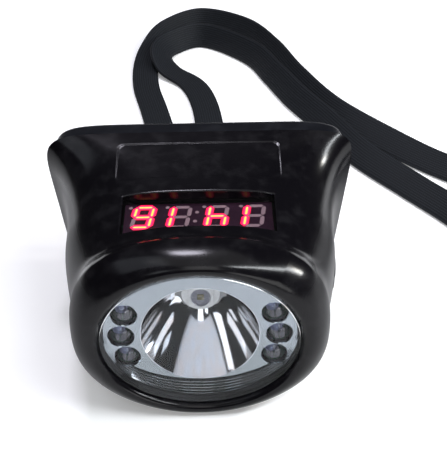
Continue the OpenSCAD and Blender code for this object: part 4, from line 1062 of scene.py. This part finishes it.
# number of the ring's steps, their slope in degrees, the steepest, and the sloping share of a step
TEETH, TOOTH_TILT, TOOTH_STEEPEST, SLOPE_SHARE = 5, 34.0, 50.0, 0.76
CREST_DIP, CREST_W, TEETH_HIGHEST, RING_LIFT, RING_CREST = 0.9, 0.11, 0.85, 0.03, 0.3
RING_SIDE, RING_OVER, RING_INSET, RING_SIDES = 0.5, 0.9, 0.1, 240


def tooth_slope(q):
    """Slope of a step round the ring: steep below the axis, almost flat above it."""
    under = -np.sin(q)
    steep = np.minimum(TOOTH_STEEPEST, TOOTH_TILT / np.maximum(under, 0.1)**2)
    return np.tan(np.radians(lerp(2.0, steep, ease((under - 0.05) / 0.35))))


def make_surround():
    """Metallised ring from the mirror's edge out to the lens: fine sloping steps with rounded crests."""
    q = around(RING_SIDES)
    a0, b0, a1, b1 = PLATE_W / 2, PLATE_H / 2, LENS_W / 2 - RING_SIDE, LENS_H / 2 - RING_OVER
    pitch = ((a1 - a0) * np.cos(q)**2 + (b1 - b0) * np.sin(q)**2) / TEETH
    height = np.minimum(SLOPE_SHARE * pitch * tooth_slope(q), TEETH_HIGHEST * (SPACER_FRONT_S - PLATE_S))
    crest = [(SLOPE_SHARE - 0.02 + CREST_W * (1 - math.cos(a)) / 2, CREST_DIP + (1 - CREST_DIP) * math.sin(a))
             for a in np.linspace(0, math.pi, 7)]
    foot, top = PLATE_S + RING_LIFT, SPACER_FRONT_S
    out_a, out_b = POCKET_A - RING_INSET, POCKET_B - RING_INSET
    rings = []
    for k in range(TEETH):
        for t, up in [(0.02, 0.0)] + crest:
            u = (k + t) / TEETH
            ring = oval(q, foot, lerp(a0, a1, u), lerp(b0, b1, u), lerp(b0, b1, u))
            ring[:, 1] += up * height
            rings.append(ring)
    rings += [oval(q, s, a, b, b) for a, b, s in
              ((a1, b1, foot), (a1 + 0.05, b1 + 0.05, top - 0.04), (a1 + 0.12, b1 + 0.12, top),
               (out_a, out_b, top), (out_a, out_b, PLATE_S), (a0, b0, PLATE_S))]
    mesh = face_outwards(lofted("lens_surround", placed(rings), closed=True))
    hole = [(LED_D / 2 + LED_HOLE_GAP, -0.5), (LED_D / 2 + LED_HOLE_GAP, 2)]
    notches = [close_ends(revolved("notch", hole, 48, (x, PLATE_S, z))) for x, z in LED_PLACES if z]
    mesh = combined("DIFFERENCE", mesh, join_meshes("notches", notches))
    # painted shade: the ring's steps are painted as darker mirror, darkest at their foot by the plate
    store_by_place(mesh, "polish", lambda x, s, z: 0.5 * ease((s - PLATE_S - RING_CREST) / 0.1))
    ring = piece("lens_surround", mesh, MIRROR, smooth=25)
    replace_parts(ring, "lens_spacer")


LENS_GAP, LENS_CHAMFER, LENS_FLAT = 0.1, 0.5, 8


def make_lens():
    """Flat lens; its bevelled rim has a clouded, mirror-bright finish, a painted glint for the light that a
    lens carries to its edge.
    """
    q = around(180)
    a, b = LENS_W / 2 - LENS_GAP, LENS_H / 2 - LENS_GAP
    rings = []
    for inset, s in ((LENS_FLAT, LENS_BACK_S), (0, LENS_BACK_S), (0, LENS_FRONT_S - 0.7),
                     (0.08, LENS_FRONT_S - 0.6), (0.4, LENS_FRONT_S - 0.05),
                     (LENS_CHAMFER, LENS_FRONT_S), (LENS_FLAT, LENS_FRONT_S)):
        rings.append(oval(q, s, a - inset, b - inset, b - inset))
    mesh = lofted("clear_lens", placed(rings), capped=True)
    for face in mesh.polygons:
        face.material_index = int(len(q) <= face.index < 5 * len(q))
    face_outwards(mesh)
    lens = piece("clear_lens", mesh, [LENS, LENS_RIM_GLINT], smooth=25)
    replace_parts(lens, "front_lens")


def dome_profile(radius, start, high, count):
    """Profile (radius, forward) of a dome, from its foot almost to its top."""
    angles = np.linspace(0, math.pi / 2 * 0.985, count)
    return [(radius * math.cos(a), start + high * math.sin(a)) for a in angles]


# profile of the LED's inner cup (radius, forward), and side, width and place of its two posts
LED_CUP = [(0.25, 5.0), (1.15, 5.3), (1.2, 5.9), (1.05, 5.9), (0.6, 5.45), (0.02, 5.42)]
LED_CUP_X, LED_POST_X, LED_POST_WIDTHS = -0.55, 0.75, ((-1, 1.25), (1, 0.7))
LED_POST_FOOT, LED_POST_TOP, LED_POST_HALF, LED_POST_EDGE = 0.3, 5.2, 0.25, 0.08
LED_FLANGE, LED_FLANGE_T = 0.4, 0.9


def make_signal_leds():
    """Clear LED bodies, each with its two metal posts and cup inside."""
    r = LED_D / 2
    flange = [(0.02, 0.0), (r + LED_FLANGE, 0.0), (r + LED_FLANGE, LED_FLANGE_T), (r, LED_FLANGE_T + 0.1)]
    body = close_ends(turned("body", flange + dome_profile(r, LED_L - r, r, 24), 48))
    # painted highlight: the lower side of each body's rim, stored as edge, where its finish is painted
    # mirror-bright
    store(body, "edge", [float(ease((math.hypot(v.co.x, v.co.z) / MM / r - 0.8) / 0.18)
                               * ease((-v.co.z / MM / r - 0.1) / 0.6)) for v in body.vertices])
    anvil = close_ends(turned("anvil", LED_CUP, 32))
    anvil.transform(Matrix.Translation((LED_CUP_X * MM, 0, 0)))
    posts = []
    for side, width in LED_POST_WIDTHS:
        x, half = side * LED_POST_X, width / 2
        posts.append(box_mesh("post", (x - half, LED_POST_FOOT, -LED_POST_HALF),
                              (x + half, LED_POST_TOP, LED_POST_HALF), LED_POST_EDGE, local=True))
    places = [(x, LED_BOARD_S, z) for x, z in LED_PLACES]
    frames = copies_of(join_meshes("frame", [anvil] + posts), places, LEAD_FRAME)
    bodies = copies_of(body, places, LED_EPOXY)
    led = piece("signal_led_bodies", bodies, LED_EPOXY)
    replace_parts(led, "signal_leds")
    piece("signal_led_frames", frames, LEAD_FRAME)


LED_BASE, LED_CHIP_TOP, LED_CASE, LED_CHIP = CUP_BASE_S + 0.8, CUP_BASE_S + 1.0, 2.5, 0.7
DAM = [(0.02, 0.8), (2.35, 0.8), (2.4, 1.05), (2.2, 1.1), (2.1, 0.85)]
DOME_R, DOME_START, DOME_HIGH = 2.05, 0.85, 1.9


def make_main_led():
    """White ceramic package with a yellow phosphor square under a clear silicone dome."""
    package = box_mesh("package", (-LED_CASE, CUP_BASE_S, -LED_CASE), (LED_CASE, LED_BASE, LED_CASE), 0.1)
    dam = close_ends(revolved("ring", DAM, 64, (0, CUP_BASE_S, 0)))
    mesh = join_meshes("main_led_package", [package, dam])
    piece("main_led_package", mesh, WHITE_BOARD)
    chip = box_mesh("main_led_chip", (-LED_CHIP, LED_BASE, -LED_CHIP),
                    (LED_CHIP, LED_CHIP_TOP, LED_CHIP), 0.05)
    phosphor = Finish("phosphor", (0.3, 0.26, 0.1), 0.45)
    phosphor.set("Base Color", phosphor.blend(phosphor.noise(0.3, 3), (0.26, 0.22, 0.07), (0.36, 0.32, 0.14)))
    piece("main_led_chip", chip, phosphor.material)
    dome = close_ends(revolved("main_led_dome", dome_profile(DOME_R, DOME_START, DOME_HIGH, 14), 64,
                               (0, CUP_BASE_S, 0)))
    lens = piece("main_led_dome", dome, EPOXY, smooth=40)
    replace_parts(lens, "main_led")


make_reflector()
make_surround()
make_lens()
make_signal_leds()
make_main_led()


# --- display ----------------------------------------------------------------------
def on_window(x, forward, height):
    """A point of the tilted window: x, distance towards the lens, height over the top face's middle."""
    c, w = math.cos(math.radians(WINDOW_TILT)), math.sin(math.radians(WINDOW_TILT))
    z0 = float(rise(WINDOW_S))
    return at(x, WINDOW_S + forward * c + height * w, z0 - forward * w + height * c)


SEGMENT_A, SEGMENT_B = DIGIT_W / 2 - SEGMENT_T / 2, DIGIT_H / 2 - SEGMENT_T / 2
SEGMENT_GAP, POINT_OFF, COLON_X, COLON_SHARE = 0.12, 0.9, 0.5, 0.2
# middle, half length and direction of each segment, as part.scad has them
SEGMENTS = [(0, SEGMENT_B, SEGMENT_A, 0), (SEGMENT_A, SEGMENT_B / 2, SEGMENT_B / 2, 90),
            (SEGMENT_A, -SEGMENT_B / 2, SEGMENT_B / 2, 90), (0, -SEGMENT_B, SEGMENT_A, 0),
            (-SEGMENT_A, -SEGMENT_B / 2, SEGMENT_B / 2, 90), (-SEGMENT_A, SEGMENT_B / 2, SEGMENT_B / 2, 90),
            (0, 0, SEGMENT_A, 0)]
LIT = ((0, 1, 1, 0, 0, 0, 0), (0, 1, 1, 0, 0, 1, 1), (0, 1, 1, 0, 0, 0, 0), (1, 0, 1, 1, 1, 1, 1))
DISPLAY_TOP = -WINDOW_RECESS - PANE_T - 0.1
LIT_LIFT, UNLIT_LIFT, DOT_LIFT, GLOW_STEP = 0.1, 0.04, 0.05, 0.02


def slanted(x, y):
    return x + y * math.tan(math.radians(DIGIT_SLANT)), y


def segment_rings(segment, insets):
    """Outlines of one segment, each drawn in or out by an inset."""
    cx, cy, half, turn = segment
    rings = []
    for inset in insets:
        t, reach = SEGMENT_T / 2 - inset, half - SEGMENT_GAP - inset
        points = [(-reach, 0), (-reach + t, t), (reach - t, t), (reach, 0), (reach - t, -t), (-reach + t, -t)]
        rings.append([slanted(cx + x, cy + y) if turn == 0 else slanted(cx - y, cy + x) for x, y in points])
    return rings


def digit_mesh(name, wanted, insets, glow, height):
    """Segments that are lit or not, as nested outlines that carry their glow."""
    vertices, faces, levels = [], [], []
    chosen = [(d, k) for d, states in enumerate(LIT) for k, state in enumerate(states) if state == wanted]
    for d, k in chosen:
        rings = segment_rings(SEGMENTS[k], insets)
        start = len(vertices)
        for ring, level in zip(rings, glow):
            for x, y in ring:
                px = (d - 1.5) * DIGIT_PITCH + x
                vertices.append(on_window(-px, y - DIGIT_SHIFT, height + GLOW_STEP * level))
                levels.append(level)
        for r in range(len(rings) - 1):
            for i in range(6):
                j = (i + 1) % 6
                a, b = start + 6 * r, start + 6 * (r + 1)
                faces.append((a + i, a + j, b + j, b + i))
        faces.append(tuple(start + 6 * (len(rings) - 1) + i for i in range(6)))
    mesh = plain_mesh(name, vertices, faces)
    store(mesh, "glow", levels)
    return edit(mesh, turn_upwards)


def add_dots(work):
    """The unlit decimal points and the colon."""
    dots = [slanted((d - 1.5) * DIGIT_PITCH + DIGIT_W / 2 + POINT_OFF, -SEGMENT_B) for d in range(4)]
    dots += [slanted(COLON_X, j * DIGIT_H * COLON_SHARE) for j in (-1, 1)]
    for x, y in dots:
        corners = circle(x, y - DIGIT_SHIFT, SEGMENT_T / 2, 24)
        work.faces.new([work.verts.new(on_window(-a, b, DISPLAY_TOP + DOT_LIFT)) for a, b in corners])


def make_digits():
    """Lit segments glow more towards their middles; the others are grey."""
    lit = Finish("lit_segment", (0.4, 0.0, 0.01), 0.5, Emission_Strength=2.6)
    glow = lit.attribute("glow")
    color = lit.node("ShaderNodeValToRGB", {"ramp": [(0.0, (0.15, 0.0, 0.012)), (0.25, (0.5, 0.0, 0.035)),
                     (0.55, (0.75, 0.0, 0.05)), (0.74, (0.8, 0.02, 0.12)), (0.88, (0.9, 0.2, 0.03)),
                     (1.0, (0.95, 0.42, 0.06))]}, {0: glow}).out(0)
    lit.set("Emission Color", color)
    lit.set("Base Color", color)
    lit.set("Alpha", glow.soft(0.0, 0.35))
    insets = (-0.52, -0.36, -0.2, -0.05, 0.12, 0.24, 0.33)
    levels = (0.0, 0.25, 0.55, 0.62, 0.7, 0.92, 1.0)
    mesh = digit_mesh("lit_digits", 1, insets, levels, DISPLAY_TOP + LIT_LIFT)
    digits = piece("lit_digits", mesh, lit.material, smooth=0)
    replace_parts(digits, "display_lit_segments")

    unlit = Finish("unlit_segment", (0.42, 0.38, 0.36), 0.5)
    unlit.set("Base Color", unlit.blend(unlit.noise(0.5, 3), (0.36, 0.32, 0.3), (0.5, 0.46, 0.43)))
    mesh = digit_mesh("unlit_digits", 0, (0.0, 0.06), (0.0, 1.0), DISPLAY_TOP + UNLIT_LIFT)
    edit(mesh, add_dots, turn_upwards)
    digits = piece("unlit_digits", mesh, unlit.material, smooth=0)
    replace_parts(digits, "display_unlit_segments")


make_digits()


# --- back of the lamp ---------------------------------------------------------------
SCREW_HEAD_R, SCREW_R, SCREW_CORE, SCREW_PITCH = 2.2, 1.25, 0.78, 0.5
CROSS_HALF, CROSS_T, CROSS_DEEP = 1.25, 0.26, 0.95
COVER_HEAD_H, HEAD_SUNK, CLIP_HEAD_H, CLIP_SCREW_L = 1.6, 0.2, 1.3, 3.8
CLIP_SCREW_X, CLIP_SCREW_Z = 10.2, (10, -2)
BAR_D, BAR_S, BAR_Z, WRAP_X, BAR_GAP = 2.5, -12.2, -12.6, 5.7, 0.2


def pan_screw(head_h, shank_l):
    """Pan head with a cross recess over a threaded shank; its head looks back, its face at 0."""
    r, core = SCREW_HEAD_R, SCREW_R * SCREW_CORE
    head = [(0.02, 0.0), (0.5 * r, 0.03), (0.8 * r, 0.16), (0.95 * r, 0.38), (r, 0.66), (r, head_h - 0.08),
            (r - 0.1, head_h), (SCREW_R, head_h)]
    thread = []
    for k in range(int((shank_l - 0.6) / SCREW_PITCH)):
        down = head_h + 0.3 + k * SCREW_PITCH
        thread += [(SCREW_R, down), (core, down + SCREW_PITCH * 0.45), (core, down + SCREW_PITCH * 0.55)]
    tip = [(SCREW_R, head_h + shank_l - 0.25), (SCREW_R * 0.6, head_h + shank_l)]
    screw = close_ends(turned("screw", head + thread + tip, 40))
    arms = [box_mesh("arm", (-x, -1, -z), (x, CROSS_DEEP, z), 0.1, local=True)
            for x, z in ((CROSS_HALF, CROSS_T), (CROSS_T, CROSS_HALF))]
    return combined("DIFFERENCE", screw, combined("UNION", *arms))


def make_screws():
    """Cover and clip screws, each turned as its driver left it."""
    low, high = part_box("cover_screws")
    deep = RIM_Y - low[1] / MM
    side = high[0] / MM - SCREW_HEAD_R
    heights = high[2] / MM - AXIS_H - SCREW_HEAD_R, low[2] / MM - AXIS_H + SCREW_HEAD_R
    face = COVER_D - HEAD_SUNK
    places = [(i * side, -face, z) for i in (-1, 1) for z in heights]
    mesh = copies_of(pan_screw(COVER_HEAD_H, deep + face - COVER_HEAD_H), places, STEEL, math.pi, seed=4)
    screws = piece("cover_screw_set", mesh, STEEL)
    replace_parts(screws, "cover_screws")
    face = COVER_D + CLIP_PAD + CLIP_T + CLIP_HEAD_H
    places = [(i * CLIP_SCREW_X, -face, z) for i in (-1, 1) for z in CLIP_SCREW_Z]
    mesh = copies_of(pan_screw(CLIP_HEAD_H, CLIP_SCREW_L), places, STEEL, math.pi, seed=9)
    screws = piece("clip_screw_set", mesh, STEEL)
    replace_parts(screws, "clip_screws")


def swept_band(name, path, wide, width, thick):
    """Woven band along a path of points (x, s, z); wide is its direction across."""
    path, wide = np.array(path, float), np.array([wide] * len(path), float)
    way = np.gradient(path, axis=0)
    way /= np.linalg.norm(way, axis=1)[:, None]
    wide -= way * np.sum(wide * way, axis=1)[:, None]
    wide /= np.linalg.norm(wide, axis=1)[:, None]
    rings, across = band_rings(path, wide, np.cross(way, wide), width, thick)
    return band_mesh(name, placed(rings), path, across)[0]


TAIL_L, TAIL_STEP, TAIL_WAVE = 4.0, 0.5, 0.15
BIGHT_W, FOLD_R, BIGHT_WAVE, BIGHT_RISE = 8.0, 1.3, 0.12, 0.25
TURN_SLIM, BIGHT_SHORT, FOLD_START = 0.3, 0.4, 0.6


def make_hitch():
    """The lanyard's hitch: a turn of the strap round the bar on each side, under the bight across both."""
    reach = BAR_D / 2 + BAR_GAP + STRAP_T / 2
    parts = []
    for i in (-1, 1):
        x = i * WRAP_X
        path = [(x, BAR_S - TAIL_L + TAIL_STEP * k, BAR_Z - reach + TAIL_WAVE * math.sin(k))
                for k in range(8)]
        path += [(x, BAR_S + reach * math.cos(a), BAR_Z + reach * math.sin(a))
                 for a in np.radians(np.linspace(-90, 95, 24))]
        path += [(x, BAR_S - reach * math.sin(a), BAR_Z + reach * math.cos(a))
                 for a in np.linspace(0.25, 1.5, 10)]
        parts.append(swept_band("turn", path, (1, 0, 0), STRAP_W - TURN_SLIM, STRAP_T))
    # the bight: across the back of both turns, its ends folded in round their sides
    out = BAR_S - reach - STRAP_T
    half = WRAP_X + STRAP_W / 2 - BIGHT_SHORT
    right = [(half + FOLD_R * math.sin(a), out + FOLD_R * (1 - math.cos(a)))
             for a in np.linspace(0, math.pi / 2, 9)]
    right += [(half + FOLD_R, out + FOLD_R + d) for d in (0.5, 1.0, 1.6)]
    across = [(x, out) for x in np.linspace(-half + FOLD_START, half - FOLD_START, 26)]
    line = [(-x, s) for x, s in reversed(right)] + across + right
    path = [(x, s + BIGHT_WAVE * math.cos(x * 0.9), BAR_Z + BIGHT_RISE * math.sin(x * 0.35)) for x, s in line]
    parts.append(swept_band("bight", path, (0, 0, 1), BIGHT_W, STRAP_T))
    mesh = join_meshes("strap_hitch", parts)
    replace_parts(piece("strap_hitch", mesh, WEBBING, smooth=50), "lanyard_hitch")


make_screws()
make_hitch()


# --- finishes of the CAD pieces that keep their shape -------------------------------
DISPLAY_FACE = moulded_plastic("display_face", (0.03, 0.013, 0.026), 0.35, gloss=0.2)
KEPT = {
    "cover_seal": GREY_SEAL, "lens_seal": SEAL, "led_star_board": WHITE_BOARD, "heat_sink": ALLOY,
    "heat_sink_screws": STEEL, "signal_led_board": BOARD, "signal_board_screws": STEEL,
    "display_window": SMOKED, "display_module": DISPLAY_FACE, "display_board": BOARD,
    "display_board_screws": STEEL, "control_board": BOARD, "control_board_parts": CHIPS,
    "control_board_screws": STEEL, "battery_pack": SHRINK, "battery_pad": FOAM, "battery_tabs": NICKEL,
    "button_seal": SEAL, "button_circlip": STEEL, "switch_body": CHIPS, "switch_stem": STEM,
    "switch_board": BOARD, "contact_seals": SEAL,
}
for node, material in KEPT.items():
    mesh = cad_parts[node].data
    mesh.materials.clear()
    mesh.materials.append(material)
smooth_copy("back_cover", COVER, "rear_cover")
smooth_copy("cap_clip", SPRING_STEEL, "sheet_clip", bevel_mm=0.12)
smooth_copy("charge_contacts", GOLD, "contact_studs", bevel_mm=0.12)
smooth_copy("lanyard_bar", STEEL, "strap_bar")
smooth_copy("push_button", BUTTON, "button_cap", body="button", bevel_mm=0.08)
smooth_copy("button_collar", DARK, "button_bezel", bevel_mm=0.12)
